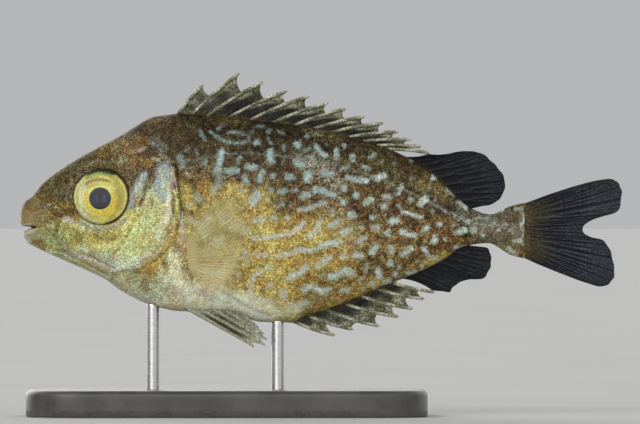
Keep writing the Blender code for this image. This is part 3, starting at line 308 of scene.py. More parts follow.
# The ground tones of the flank from the belly to the back, each as (share of the height, tone).
HEIGHT_TONES = [
    (0.0, Hue.CREAM), (0.13, Hue.GOLD), (0.32, Hue.GOLD), (0.5, Hue.OCHRE), (0.7, Hue.RED_BROWN),
    (0.83, Hue.BROWN), (1.0, Hue.BACK),
]
SKIN_STROKES = strokes(
    # The flanks, the belly, the back and the crown.
    (Hue.RED_BROWN, 0.75, 9, 0.6, 60, -1, 70, -1), (Hue.BROWN, 0.85, 3.2, 0.6, 52, 8.5, 60, 5, 67, 0.5),
    (Hue.RED_BROWN, 0.6, 3.5, 0.6, 42, 5.5, 52, 3, 58, 0),
    (Hue.OCHRE, 0.8, 3, 0.6, 44, -11, 52, -8.5, 58, -6),
    (Hue.RUSSET, 0.75, 3, 0.6, 51, -4.4, 58, -4.6, 64, -3.6),
    (Hue.RED_BROWN, 0.45, 2.2, 0.6, 52, -6.6, 61, -5.4), (Hue.GOLD, 0.75, 1.2, 0.6, 39.5, -16, 43, -15.2),
    (Hue.OCHRE, 0.9, 1.3, 0.6, 43.5, -15.2, 48, -13.5, 54, -10.8, 59, -9, 66, -5),
    (Hue.GOLD, 0.85, 3.6, 0.6, 33, -3, 40, -4, 47, -4), (Hue.GOLD, 0.7, 2.4, 0.6, 27, 3, 31, 1, 36, 1.5),
    (Hue.OCHRE, 0.7, 1.5, 0.6, 25, 5.2, 27, 3), (Hue.GOLD, 0.6, 0.7, 0.6, 36.4, 3.4, 36.6, 0.6),
    (Hue.GREY_BROWN, 0.55, 1.8, 0.9, 43.6, 7.4, 48.5, 6.4),
    (Hue.LILAC, 0.16, 1.5, 0.9, 42.6, 8.6, 46, 7, 46.8, 5),
    (Hue.TAN, 0.45, 1.9, 0.9, 48.6, -1.4, 53.5, -4.2, 56.5, -6.4),
    (Hue.MAROON, 0.4, 1, 0.9, 53, 1.2, 58.5, -0.8), (Hue.OLIVE, 0.45, 1.6, 0.9, 50, 7.6, 57, 5.2),
    (Hue.PINK, 0.4, 1.5, 0.9, 46.4, 1.4, 48.8, -1.8, 49.6, -4.6),
    (Hue.OLIVE, 0.4, 1.4, 0.9, 38.6, 4.4, 39.2, 2), (Hue.GREY_BROWN, 0.3, 1.2, 0.9, 26.5, 6.6, 31, 6.4),
    (Hue.PINK, 0.4, 0.45, 0.9, 33.7, 5.4, 34.2, 2.8, 34, 0.6),
    (Hue.ORANGE, 0.45, 0.4, 0.9, 26.2, 4.4, 27.6, 5, 29.4, 4), (Hue.GOLD, 0.8, 1, 0.6, 31.8, 4.4, 33.2, 3.6),
    (Hue.CREAM, 0.9, 2.6, 0.6, 16, -12, 22, -14, 29, -14.5, 35, -15.8),
    (Hue.CREAM, 0.6, 1.8, 0.6, 22, -10.5, 29, -11.8, 36, -14),
    (Hue.BREAST, 0.85, 1.7, 0.6, 14.6, -9, 17, -9.6, 20, -10.6, 22.4, -12.2),
    (Hue.LILAC, 0.7, 0.8, 0.6, 23.4, -11, 24.8, -12.2), (Hue.LILAC, 0.6, 0.7, 0.6, 26.2, -11, 28.8, -12.2),
    (Hue.LILAC, 0.5, 0.6, 0.6, 17.6, -11.6, 19.6, -12.8), (Hue.STEM, 0.8, 3.4, 0.6, 69.5, -1.8, 75.6, -2),
    (Hue.LILAC, 0.15, 0.8, 0.6, 68, -1.6, 75, -2.2), (Hue.GREY_BLUE, 0.5, 1, 0.9, 66.5, -0.6, 72, -0.9),
    (Hue.TAIL_BASE, 0.95, 0.4, 0.4, 75.2, 2.6, 75.8, 1.2),
    (Hue.TAIL_BASE, 0.95, 0.4, 0.4, 75.9, -3, 75.5, -4.6, 74.9, -6.4),
    (Hue.CROWN, 0.95, 2.6, 0.6, 2.6, 4.6, 6, 7.4, 10.4, 10, 15, 12.4, 20, 14.8),
    (Hue.OLIVE, 0.9, 2.2, 0.6, 3.4, 3.2, 7, 4.6, 9.5, 8.2, 15, 9),
    (Hue.GREY_BROWN, 0.7, 0.6, 0.6, 7.3, 2.6, 7.6, 5, 9.6, 7.4, 12, 8.2),
    (Hue.GREY_BROWN, 0.7, 0.6, 0.6, 15.2, 7.4, 16.8, 6, 17.2, 3.6),
    (Hue.BROWN, 0.8, 1.6, 0.6, 17, 13.2, 20.5, 13.6, 25, 13.4),
    (Hue.ORANGE, 0.35, 1.1, 0.6, 11.6, 9.8, 14.6, 10.4, 18, 10.8),
    (Hue.TAN, 0.7, 0.28, 0.6, 13.6, 10.2, 14.6, 10.5),
    (Hue.TAN, 0.7, 0.25, 0.6, 16.2, 9.4, 17.4, 9.8, 18.4, 10.3),
    (Hue.TAN, 0.6, 0.25, 0.6, 19.6, 14.2, 21, 14.4), (Hue.GREY_BLUE, 0.75, 0.7, 0.6, 20.2, 11, 21.4, 10.2),
    (Hue.PINK, 0.28, 0.7, 0.9, 14.6, 9.9, 16.4, 10.5, 17.6, 10.2),
    (Hue.LILAC, 0.45, 0.16, 0.6, 17.4, 9.6, 18.8, 10.2), (Hue.SILVER, 0.35, 0.5, 0.8, 15, 8.1, 15.6, 8.5),
    (Hue.ORANGE, 0.8, 0.5, 0.8, 16.9, 8.6, 17.8, 8.3), (Hue.ORANGE, 0.8, 0.5, 0.8, 19, 8.3, 19.6, 7.8),
    (Hue.MAROON, 0.6, 0.14, 0.6, 17.6, 9.1, 17.9, 7.8), (Hue.LILAC, 0.5, 0.25, 0.6, 20, 8.6, 20.8, 8.4),
    (Hue.PINK, 0.5, 0.3, 0.6, 21.2, 9, 22.2, 8.3),
    (Hue.TAN, 0.35, 0.12, 0.6, 16.2, 5.7, 14.9, 7.1, 13.1, 7.8, 11.3, 7.8, 9.5, 7.1, 8.1, 5.7, 7.4, 4.2),
    (Hue.LILAC, 0.15, 0.1, 0.6, 14.8, 7.5, 13.2, 8.1, 11.2, 8.1, 9.6, 7.5),
    (Hue.TAN, 0.6, 0.25, 0.6, 18.3, 8.6, 18.5, 7.8),
    # The snout and the jaws.
    (Hue.DARK_GOLD, 0.95, 0.75, 0.6, 2.9, 3.1, 4.4, 2.4, 5.9, 1.8, 7.6, 0.8),
    (Hue.ORANGE, 0.6, 0.4, 0.6, 6.6, 1.7, 7.6, 1.4),
    (Hue.DARK_GOLD, 0.8, 0.7, 0.6, 4.6, 0.3, 6.2, -0.5, 7.2, 0.1),
    (Hue.GREY_BROWN, 0.6, 0.5, 0.6, 2.8, 3.9, 3.4, 3.4),
    (Hue.TAN, 0.9, 1.1, 0.6, 0.6, 0.5, 1, -0.4, 2.4, -0.4),
    (Hue.TAN, 0.8, 0.9, 0.6, 2.2, 2, 2.6, 0.6, 4, -0.6), (Hue.GREY_BROWN, 0.8, 0.5, 0.6, 0.6, 2, 1.4, 2.7),
    (Hue.MAROON, 0.8, 0.16, 0.6, 1.5, 2.8, 0.9, 1.2, 1.9, 0.75, 2.9, 1),
    (Hue.ORANGE, 0.5, 0.3, 0.6, 1.4, 1.6, 2.6, 0.5), (Hue.SILVER_BLUE, 0.5, 0.18, 0.6, 4.1, 1.7, 4.4, 1.6),
    (Hue.SILVER, 0.35, 0.12, 0.6, 5.4, 1.4, 5.8, 1.2), (Hue.LILAC, 0.85, 0.28, 0.6, 4.2, -1.3, 4.7, -1.5),
    (Hue.TAN, 0.85, 1, 0.6, 1.4, -3.4, 2.8, -3.6, 3.6, -4.4),
    (Hue.BREAST, 0.7, 0.7, 0.6, 2, -2.8, 3.2, -2.7, 4.4, -3.2),
    (Hue.LILAC, 0.7, 0.28, 0.6, 0.9, -2.6, 1.5, -2.2, 2.4, -1.9),
    (Hue.SILVER, 0.55, 0.35, 0.6, 1, -3.2, 1.4, -3.9), (Hue.ORANGE, 0.3, 0.35, 0.6, 2.2, -3.9, 3.2, -4.1),
    (Hue.LILAC, 0.5, 0.12, 0.6, 0.25, -1.2, 0.6, -1.35, 1.6, -1.15),
    # The cheek.
    (Hue.CHEEK, 1, 2.2, 0.6, 6.2, -3.4, 10, -3.4, 15, -3.6, 16.6, -1.2),
    (Hue.LILAC, 0.85, 0.42, 0.6, 6.8, -0.4, 7.7, -0.8),
    (Hue.OLIVE, 0.6, 0.35, 0.6, 5.8, -1, 5.6, -1.9, 5.2, -2.9),
    (Hue.DARK_GOLD, 0.5, 0.8, 0.6, 7.2, -1.9, 8.8, -3),
    (Hue.DARK_GOLD, 0.4, 0.7, 0.6, 11.4, -2.8, 13.8, -3.2),
    (Hue.SILVER, 0.6, 0.45, 0.6, 9.2, -4.6, 11.4, -5.4), (Hue.SILVER, 0.5, 0.5, 0.6, 5.6, -3.8, 6.6, -4.6),
    (Hue.GREEN_GOLD, 0.95, 2, 0.6, 19.6, 3, 20.4, 0, 19.2, -3.6, 16, -6.2),
    (Hue.GREEN_GOLD, 0.7, 1.2, 0.6, 14.4, -5.8, 10.4, -6.6, 8.6, -6.4),
    (Hue.SILVER, 0.65, 0.9, 0.6, 11, -6.6, 13, -6.4, 14.6, -6.8),
    (Hue.SILVER_BLUE, 0.55, 0.4, 0.6, 8.8, -1, 10.4, -1.6, 12.4, -1.9, 14.6, -1.5, 16, -0.4),
    (Hue.GREEN_GOLD, 0.6, 0.3, 0.6, 9.4, -2.3, 12.6, -2.6),
    (Hue.BREAST, 0.6, 0.45, 0.6, 5.4, -5.6, 9, -7, 12.6, -8.8),
    (Hue.SILVER, 0.6, 0.4, 0.6, 7.4, -5.4, 9, -6, 10.4, -6.4),
    (Hue.PINK, 0.4, 0.5, 0.6, 10.4, -5.8, 13, -6, 15.2, -5),
    (Hue.LILAC, 0.55, 0.5, 0.6, 6.4, -5.2, 8.8, -5.9, 11.4, -6.5),
    (Hue.SILVER_BLUE, 0.5, 0.45, 0.6, 11.6, -6.7, 13.6, -7.4, 15.6, -7.8),
    (Hue.DARK_GOLD, 0.35, 1, 0.6, 9.5, -3.1, 14.5, -2.9), (Hue.OLIVE, 0.22, 1.2, 0.9, 6.6, -5, 12.8, -6.8),
    (Hue.DARK_GOLD, 0.4, 0.4, 0.9, 8.6, -3.6, 9.2, -4.2),
    (Hue.GREY_BROWN, 0.45, 0.13, 0.6, 6.2, -5, 8.6, -5.7, 11.2, -6.1),
    (Hue.LILAC, 0.6, 0.2, 0.6, 12.6, -7.6, 14.6, -8, 16.2, -8),
    (Hue.LILAC, 0.5, 0.25, 0.6, 13.6, -6.3, 15.4, -6.2),
    (Hue.GREY_BLUE, 0.4, 0.3, 0.6, 12, -8.2, 14.4, -8.7), (Hue.CREAM, 0.6, 0.2, 0.6, 17.2, -7.2, 17.9, -7.1),
    (Hue.OLIVE, 0.38, 1.3, 0.9, 4.6, -2.2, 6.8, -4),
    (Hue.LILAC, 0.5, 0.45, 0.9, 8.4, -5.8, 11, -6.9, 14.4, -7.5, 16.6, -7.5),
    (Hue.GREY_BROWN, 0.45, 0.1, 0.6, 18.9, 1.2, 17.6, -0.4, 16.4, -2.4, 15.3, -4.3),
    (Hue.GOLD, 0.75, 0.12, 0.6, 18.6, 1.2, 17.3, -0.4, 16.1, -2.4, 15, -4.3, 14, -5.6),
    # The gill cover.
    (Hue.MAROON, 0.85, 0.4, 0.6, 17.2, 7, 18.6, 7.1, 20.2, 6.8),
    (Hue.MAROON, 0.85, 0.45, 0.6, 20.1, 6.9, 20, 5.4, 19.4, 4.4),
    (Hue.MAROON, 0.6, 0.25, 0.6, 16.3, 6.9, 16.6, 5.4), (Hue.TAN, 0.7, 0.2, 0.6, 16.5, 7.4, 17.2, 7.7),
    (Hue.SILVER_BLUE, 0.95, 0.55, 0.6, 18.6, 6, 17.8, 4.4, 17, 3, 16.6, 1.6),
    (Hue.LILAC, 0.5, 0.3, 0.6, 18.2, 5.2, 17.2, 3.2),
    (Hue.SILVER_BLUE, 0.95, 0.95, 0.6, 21.6, 6.9, 21.4, 5.2, 20.9, 4.2, 21.4, 3.2),
    (Hue.GREEN_GOLD, 0.5, 0.25, 0.6, 20.9, 7, 21.8, 5, 21.2, 3.6),
    (Hue.SILVER, 0.9, 0.45, 0.6, 22.2, 2.4, 21.9, 0.4, 21.3, -1.4, 20.8, -3),
    (Hue.SILVER, 0.55, 0.6, 0.6, 14.4, -7.5, 17, -6.9, 19, -5.4),
    (Hue.CREAM, 0.55, 0.34, 0.9, 22.2, 4.6, 22.5, 2.6, 22.4, 0.6, 21.9, -1),
    (Hue.SILVER_BLUE, 0.8, 0.4, 0.6, 22.5, 6.4, 22.5, 5.2), (Hue.LILAC, 0.5, 0.3, 0.9, 22.8, 4.8, 23, 3.8),
    (Hue.LILAC, 0.6, 0.2, 0.6, 23.2, 5.6, 23.5, 4.2), (Hue.EYE_BLACK, 0.6, 0.1, 0.6, 22.75, 2, 22.85, 1.1),
    (Hue.PLUM, 0.8, 0.32, 0.6, 19, 3.9, 18.6, 2.8, 18.1, 1.7),
    (Hue.SILVER, 0.6, 0.1, 0.6, 18.7, 4.2, 17.9, 2.4, 17.4, 1),
    (Hue.SILVER, 0.5, 0.1, 0.6, 19.4, 3.9, 18.9, 2.2, 17.9, 0.9),
    (Hue.EYE_BLACK, 0.8, 0.14, 0.6, 19.15, 4.7, 18.8, 4.1, 18.5, 3.6),
    (Hue.GREY_BROWN, 0.5, 0.4, 0.6, 19.8, 2.6, 19.9, 1.6),
    (
        Hue.MEMBRANE_ORANGE, 0.75, 0.36, 0.6,
        23.4, 3.6, 23.6, 2.2, 23.6, 0.4, 23.1, -2.4, 21.8, -4.9, 19.9, -6.5, 17.6, -7.9,
    ),
    (Hue.SILVER, 0.5, 0.3, 0.6, 22.9, 7, 23.1, 5.4), (Hue.ORANGE, 0.75, 0.28, 0.6, 23.7, -0.6, 23.6, -2),
    (Hue.GOLD, 0.8, 0.3, 0.6, 23.2, -3.4, 22.2, -4.2, 20.6, -5.6, 18.8, -6.9),
    (Hue.RUSSET, 0.65, 0.12, 0.6, 23.4, -3.8, 22.3, -4.9, 20.7, -6.4, 18.6, -7.8, 17.2, -8.4),
    (Hue.LILAC, 0.7, 0.3, 0.6, 24.1, 0.2, 24.2, -1.4),
    (Hue.SILVER, 0.8, 0.3, 0.6, 16.4, -7.8, 17.9, -7.2, 19, -6.4),
    (Hue.LILAC, 0.9, 0.13, 0.6, 17.4, -7.5, 19.4, -6.3, 20.9, -4.9, 21.9, -3.3, 22.8, -1.2, 23, 0.3),
    (Hue.GOLD, 0.6, 0.8, 0.6, 25, 4.4, 25, 2.8), (Hue.OLIVE, 0.5, 0.8, 0.9, 24.7, 6.3, 25.2, 5.2),
    (Hue.MARK_TEAL, 0.6, 0.16, 0.6, 24.9, 6.4, 25.4, 6.1),
    (Hue.CREAM, 0.75, 1, 0.6, 22.9, -6.4, 23.4, -8.4, 24.8, -10.6),
    (Hue.SILVER, 0.6, 0.7, 0.6, 24.6, -2.4, 23.9, -5.6),
    (Hue.PINK, 0.8, 0.8, 0.9, 23.4, -4.6, 24.4, -5.2, 25.2, -7.2, 25.3, -9.2),
    (Hue.MAROON, 0.5, 0.45, 0.9, 23, -4.3, 24, -4.5), (Hue.SILVER, 0.35, 0.8, 0.6, 21.4, -8.2, 22.8, -9.6),
    (Hue.OLIVE, 0.5, 0.5, 0.6, 21.5, -6, 22, -7.4), (Hue.OLIVE, 0.5, 0.5, 0.6, 18.6, -9.8, 18.9, -10.8),
    # Light and shade over the rest.
    (Hue.GOLD, 0.75, 1, 0.9, 44.6, -14, 48, -12.7, 52, -10.9, 54.4, -10.2),
    (Hue.CREAM, 0.8, 1.1, 0.9, 21.8, -13.2, 26, -13.2), (Hue.TAN, 0.6, 0.9, 0.9, 15.3, 8.2, 17, 7.6),
    (Hue.OLIVE, 0.32, 1.6, 0.9, 3.7, -2.5, 5.8, -3.6), (Hue.OCHRE, 0.45, 1.5, 0.9, 43.2, -5.6, 46.4, -4.8),
    (Hue.GOLD, 0.55, 0.8, 0.9, 61, -7.4, 63.6, -6.2), (Hue.TAN, 0.5, 1.2, 0.9, 60.6, 5, 63.6, 3.2),
    (Hue.OCHRE, 0.45, 1, 0.9, 17.4, -8.9, 19.6, -8.8), (Hue.TAN, 0.3, 0.8, 0.9, 28.6, 14.6, 33.4, 14.3),
    (Hue.TAN, 0.3, 0.8, 0.9, 43.4, 12.9, 48.2, 11.6),
    # What shows through the pectoral fin.
    (Hue.GOLD, 0.7, 3.2, 0.9, 27.4, -3, 30.6, -3.6), (Hue.SILVER, 0.8, 0.75, 0.9, 27.2, -1.8, 28.4, -0.4),
    (Hue.SILVER, 0.9, 0.8, 0.9, 28, -2.9, 29.6, -3.7), (Hue.SILVER, 0.75, 0.8, 0.9, 32.2, -1.4, 33.4, -2),
    (Hue.SILVER, 0.75, 0.75, 0.9, 30.2, -0.2, 31, -1.2),
    (Hue.SILVER, 0.75, 0.8, 0.9, 27.8, -8.2, 29.6, -8.8), (Hue.SILVER, 0.5, 0.6, 0.9, 27.6, -5.8, 29, -5.3),
    (Hue.OCHRE, 0.8, 0.5, 0.9, 27, -4.4, 30, -2.3, 33, -3.2),
    (Hue.OLIVE, 0.35, 0.6, 0.9, 31.2, -5.8, 32, -8),
    (Hue.LILAC, 0.5, 0.3, 0.6, 24.2, 0.4, 24.3, -1.6, 24.6, -3.4),
)


def ramp(value: Array, low: float, high: float) -> Array:
    """A share that eases from 0 at the low value to 1 at the high one."""
    t = np.clip((value - low) / (high - low), 0.0, 1.0)
    return t * t * (3 - 2 * t)


def bell(distance: Array, width: float) -> Array:
    """A soft peak of 1 where the distance is nought."""
    return np.exp(-((distance / width) ** 2))


def along(line: Line, share: Array) -> Array:
    """Points at fractional indices of a line, on a smooth curve through its corners.

    Args:
        line: the corners.
        share: the fractional indices, of any shape.

    Returns:
        The points, with one axis more than share.
    """
    corners = np.array(line, float)
    share = np.clip(share, 0, len(corners) - 1)
    i = np.minimum(share.astype(int), len(corners) - 2)
    t = (share - i)[..., None]
    a, b = corners[np.maximum(i - 1, 0)], corners[i]
    c, d = corners[i + 1], corners[np.minimum(i + 2, len(corners) - 1)]
    return 0.5 * (2 * b + (c - a) * t + (2 * a - 5 * b + 4 * c - d) * t**2 + (3 * b - a - 3 * c + d) * t**3)


def rounded(line: Line, pieces: int = 6) -> Line:
    """The line with each stretch cut into pieces along a smooth curve."""
    count = (len(line) - 1) * pieces + 1
    return [(float(x), float(z)) for x, z in along(line, np.linspace(0, len(line) - 1, count))]


def evenly(line: Line, share: Array) -> Array:
    """Points at shares of a line's whole length, on a smooth curve through its corners."""
    fine = along(line, np.linspace(0, len(line) - 1, 40 * len(line)))
    run = np.concatenate([[0.0], np.cumsum(np.hypot(*np.diff(fine, axis=0).T))])
    return np.stack([np.interp(share * run[-1], run, fine[:, k]) for k in range(2)], -1)


def arc(centre: tuple[float, float], radius: float, first: float, last: float) -> Line:
    """An arc in side view between two angles in degrees, from the tail's side turning up."""
    angles = np.radians(np.linspace(first, last, 25))
    return [(centre[0] + radius * math.cos(a), centre[1] + radius * math.sin(a)) for a in angles]


def distance_to(line: Line, x: Array, z: Array) -> Array:
    """How far places in side view are from a line of straight stretches, or from its one point."""
    nearest = np.full(np.shape(x), np.inf)
    for (ax, az), (bx, bz) in zip(line, line[1:] or line):
        dx, dz = bx - ax, bz - az
        t = np.clip(((x - ax) * dx + (z - az) * dz) / max(dx * dx + dz * dz, 1e-9), 0.0, 1.0)
        nearest = np.minimum(nearest, np.hypot(x - ax - dx * t, z - az - dz * t))
    return nearest


def within(outline: Line, x: Array, z: Array) -> Array:
    """Whether places in side view lie inside a closed outline."""
    inside = np.zeros(np.shape(x), bool)
    for (ax, az), (bx, bz) in zip(outline, [*outline[1:], outline[0]]):
        if az != bz:
            crosses = (az > z) != (bz > z)
            inside ^= crosses & (x < ax + (z - az) * (bx - ax) / (bz - az))
    return inside


def painted(ground: Array, over: Sequence[Stroke], x: Array, z: Array) -> Array:
    """The ground colours with strokes laid over them in order."""
    return coated(ground, *((stroke.tone, stroke.weight(x, z)) for stroke in over))


def plain(tone: Hue, like: Array) -> Array:
    """A ground of one tone, for as many places as an array holds."""
    return np.broadcast_to(np.array(tone.value), (*like.shape, 3))


def coated(ground: Array, *coats: tuple[Hue, Array]) -> Array:
    """The ground colours turned towards one tone after another, each by its share."""
    for tone, share in coats:
        ground = ground + (np.array(tone.value) - ground) * share[..., None]
    return ground


class Curve:
    """A smooth line through points of the side view, which never overshoots between two of them."""

    def __init__(self, points: Line) -> None:
        """Works out the slopes at the points, from the snout back."""
        self.xs, self.ys = (np.array(side, float) for side in zip(*points))
        self.steps = np.diff(self.xs)
        slopes = np.diff(self.ys) / self.steps
        self.tangents = np.concatenate([slopes[:1], np.zeros(len(slopes) - 1), slopes[-1:]])
        for i in range(1, len(slopes)):
            if slopes[i - 1] * slopes[i] > 0:
                before = 2 * self.steps[i] + self.steps[i - 1]
                after = self.steps[i] + 2 * self.steps[i - 1]
                self.tangents[i] = (before + after) / (before / slopes[i - 1] + after / slopes[i])

    def __call__(self, x: Array) -> Array:
        """The line's height at each x."""
        x = np.clip(x, self.xs[0], self.xs[-1])
        i = np.clip(np.searchsorted(self.xs, x, side="right") - 1, 0, len(self.steps) - 1)
        t = (x - self.xs[i]) / self.steps[i]
        bend = self.tangents[i] * t * (1 - t) ** 2 - self.tangents[i + 1] * t * t * (1 - t)
        between = self.ys[i] * (1 + 2 * t) * (1 - t) ** 2 + self.ys[i + 1] * t * t * (3 - 2 * t)
        return between + self.steps[i] * bend


@dataclass(frozen=True)
class Body:
    """The closed body, from the same outline and breadth as the frame's solids."""

    back: Curve = field(default_factory=lambda: Curve(BACK))
    belly: Curve = field(default_factory=lambda: Curve(BELLY))
    breadth: Curve = field(default_factory=lambda: Curve(BREADTH))
    widest_at: float = 0.48
    fullness: float = 0.92
    step: float = 0.2

    def middle(self, x: Array) -> Array:
        """The height at which the body is broadest."""
        return self.belly(x) + self.widest_at * (self.back(x) - self.belly(x))

    def flank(self, x: Array, z: Array) -> Array:
        """How far the flank stands from the middle plane."""
        middle = self.middle(x)
        reach = np.where(z > middle, self.back(x), self.belly(x)) - middle
        rise = np.clip(np.abs((z - middle) / reach), 0.0, 1.0)
        return self.breadth(x) * np.sqrt(1 - rise**2) ** self.fullness

    def normal(self, x: Array, z: Array) -> Array:
        """The unit normals of the right flank, pointing out."""
        slope_x = (self.flank(x + self.step, z) - self.flank(x - self.step, z)) / (2 * self.step)
        slope_z = (self.flank(x, z + self.step) - self.flank(x, z - self.step)) / (2 * self.step)
        out = np.stack([-slope_x, np.ones_like(slope_x), -slope_z], -1)
        return out / np.linalg.norm(out, axis=-1, keepdims=True)

    def edge(self, x: Array, on_back: bool, out: float) -> Array:
        """Points of the middle plane beside the back or the belly, as (x, z).

        Args:
            x: where along the body.
            on_back: whether along the back, and otherwise along the belly.
            out: how far outside the body, or inside where it is under nought.

        Returns:
            The points, with one axis more than x.
        """
        line = self.back if on_back else self.belly
        away = out if on_back else -out
        rise = line(x + self.step) - line(x - self.step)
        length = np.hypot(2 * self.step, rise)
        return np.stack([x - rise / length * away, line(x) + 2 * self.step / length * away], -1)

    def underside(self, x: Array, y: Array) -> Array:
        """The height of the underside at a distance from the middle plane."""
        across = np.clip(np.abs(y) / self.breadth(x), 0.0, 1.0) ** (1 / self.fullness)
        middle = self.middle(x)
        return middle - (middle - self.belly(x)) * np.sqrt(1 - across**2)


BODY = Body()


class Patchwork:
    """Gathers closed surfaces, and the values painted on them, into one piece of the model."""

    def __init__(self) -> None:
        """Starts with nothing in it."""
        self.points: list[Array] = []
        self.faces: list[list[int]] = []
        self.paint: dict[str, list[Array]] = {}
        self.count = 0

    def add(self, points: Array, quads: Array, triangles: Array, paint: Paint) -> "Patchwork":
        """Takes in one closed surface, turned outwards.

        Args:
            points: the corners, one row each.
            quads: the faces of four corners, all going round the same way.
            triangles: the faces of three corners.
            paint: the values at the corners, by name.

        Returns:
            The patchwork itself, as the next three calls do.
        """
        corners = np.concatenate([quads[:, :3], quads[:, [0, 2, 3]], triangles])
        a, b, c = ((points - points.mean(0))[corners[:, k]] for k in range(3))
        turn = -1 if np.einsum("ij,ij->i", a, np.cross(b, c)).sum() < 0 else 1
        self.faces += (quads[:, ::turn] + self.count).tolist() + (triangles[:, ::turn] + self.count).tolist()
        self.points.append(points)
        for name, values in paint.items():
            self.paint.setdefault(name, []).append(values)
        self.count += len(points)
        return self

    def add_rings(self, rings: Array, paint: Paint) -> "Patchwork":
        """Takes in a surface through closed rings of points, its two ends closed by fans.

        Args:
            rings: the points, as (ring, place in the ring, axis).
            paint: the values at them, by name, laid out alike.
        """
        count, sides = rings.shape[:2]
        at = np.arange(count * sides).reshape(count, sides)
        after = np.roll(at, -1, 1)
        quads = np.stack([at[:-1], after[:-1], after[1:], at[1:]], -1).reshape(-1, 4)
        fans = [(after[0], at[0], count * sides), (at[-1], after[-1], count * sides + 1)]
        triangles = np.concatenate([np.stack([a, b, np.full(sides, c)], -1) for a, b, c in fans])

        def with_ends(values: Array) -> Array:
            flat = values.reshape(count * sides, *values.shape[2:])
            return np.concatenate([flat, values[:1].mean(1), values[-1:].mean(1)])

        return self.add(with_ends(rings), quads, triangles, {name: with_ends(v) for name, v in paint.items()})

    def add_sheet(self, middles: Array, normals: Array, halves: Array, paint: Paint) -> "Patchwork":
        """Takes in a closed thin sheet: a grid of middle points, each pushed both ways along its normal.

        Args:
            middles: the middle points, as (row, column, axis).
            normals: the unit normals there, or one for all.
            halves: half the sheet's thickness there.
            paint: the values there, by name.
        """
        rows, columns = middles.shape[:2]
        push = normals * halves[..., None]
        points = np.concatenate([(middles + push).reshape(-1, 3), (middles - push).reshape(-1, 3)])
        top = np.arange(rows * columns).reshape(rows, columns)
        quads = np.stack([top[:-1, :-1], top[:-1, 1:], top[1:, 1:], top[1:, :-1]], -1).reshape(-1, 4)
        rim = np.concatenate([top[0, :-1], top[:-1, -1], top[-1, :0:-1], top[:0:-1, 0]])
        after, low = np.roll(rim, -1), rows * columns
        sides = np.stack([after, rim, rim + low, after + low], -1)
        faces = np.concatenate([quads, quads[:, ::-1] + low, sides])
        twice = {name: np.concatenate([v.reshape(low, *v.shape[2:])] * 2) for name, v in paint.items()}
        return self.add(points, faces, np.zeros((0, 3), int), twice)

    def add_tube(self, spots: Array, radii: Array, flat: float, sides: int, paint: Paint) -> "Patchwork":
        """Takes in a tube through spots, round or flattened across the fish, with closed ends.

        Args:
            spots: the middle of each ring.
            radii: the radius of each ring, in side view.
            flat: the tube's reach along y as a share of that radius.
            sides: how many points go round it.
            paint: the values at the spots, by name.
        """
        run = np.gradient(spots, axis=0)
        run /= np.linalg.norm(run, axis=1, keepdims=True)
        up = np.cross(run, (0.0, 1.0, 0.0))
        up /= np.linalg.norm(up, axis=1, keepdims=True)
        out = np.cross(up, run) * flat
        angles = np.linspace(0, math.tau, sides, endpoint=False)[None, :, None]
        circle = up[:, None] * np.cos(angles) + out[:, None] * np.sin(angles)
        rings = spots[:, None] + radii[:, None, None] * circle
        return self.add_rings(rings, {name: np.repeat(v[:, None], sides, 1) for name, v in paint.items()})

    def piece(self, name: str, finish: bpy.types.Material, slot: str, *nodes: str) -> bpy.types.Object:
        """Makes the object, which rides on the frame's root.

        Args:
            name: the piece's name.
            finish: its material.
            slot: the record's slot that the finish belongs to; not used.
            nodes: the frame's nodes that it stands for.

        Returns:
            The object.
        """
        points = (np.concatenate(self.points) + (-TOTAL_LENGTH / 2, 0.0, AXIS_HEIGHT)) * MM
        mesh = bpy.data.meshes.new(name)
        mesh.from_pydata(points.tolist(), [], self.faces)
        for key, parts in self.paint.items():
            values = np.concatenate(parts)
            if values.ndim == 2:
                colours = np.concatenate([values, np.ones((len(values), 1))], 1)
                mesh.attributes.new(key, "FLOAT_COLOR", "POINT").data.foreach_set("color", colours.ravel())
            else:
                mesh.attributes.new(key, "FLOAT", "POINT").data.foreach_set("value", values.ravel())
        mesh.materials.append(finish)
        mesh.shade_smooth()
        mesh.set_sharp_from_angle(angle=SHARP_ANGLE)
        obj = bpy.data.objects.new(name, mesh)
        bpy.context.scene.collection.objects.link(obj)
        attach(obj, "root")
        if nodes:
            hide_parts(*nodes)
        LOG.info("%s: %d points, in place of %s", name, self.count, ", ".join(nodes) or "nothing")
        return obj


def dress_both(
    build: Callable[[Side], Patchwork], kind: str, ending: str, finish: bpy.types.Material, slot: str
) -> None:
    """Makes a part on each flank, in place of the frame's.

    Args:
        build: shapes and paints the part of one side.
        kind: the name of the frame's parts, without their side.
        ending: the word that ends the pieces' names.
        finish: their material.
        slot: the record's slot that the finish belongs to.
    """
    for side in Side:
        name = f"{kind}_{side.name.lower()}"
        build(side).piece(f"{name}_{ending}", finish, slot, name)


Socket = bpy.types.NodeSocket
Value = Union[float, Socket]


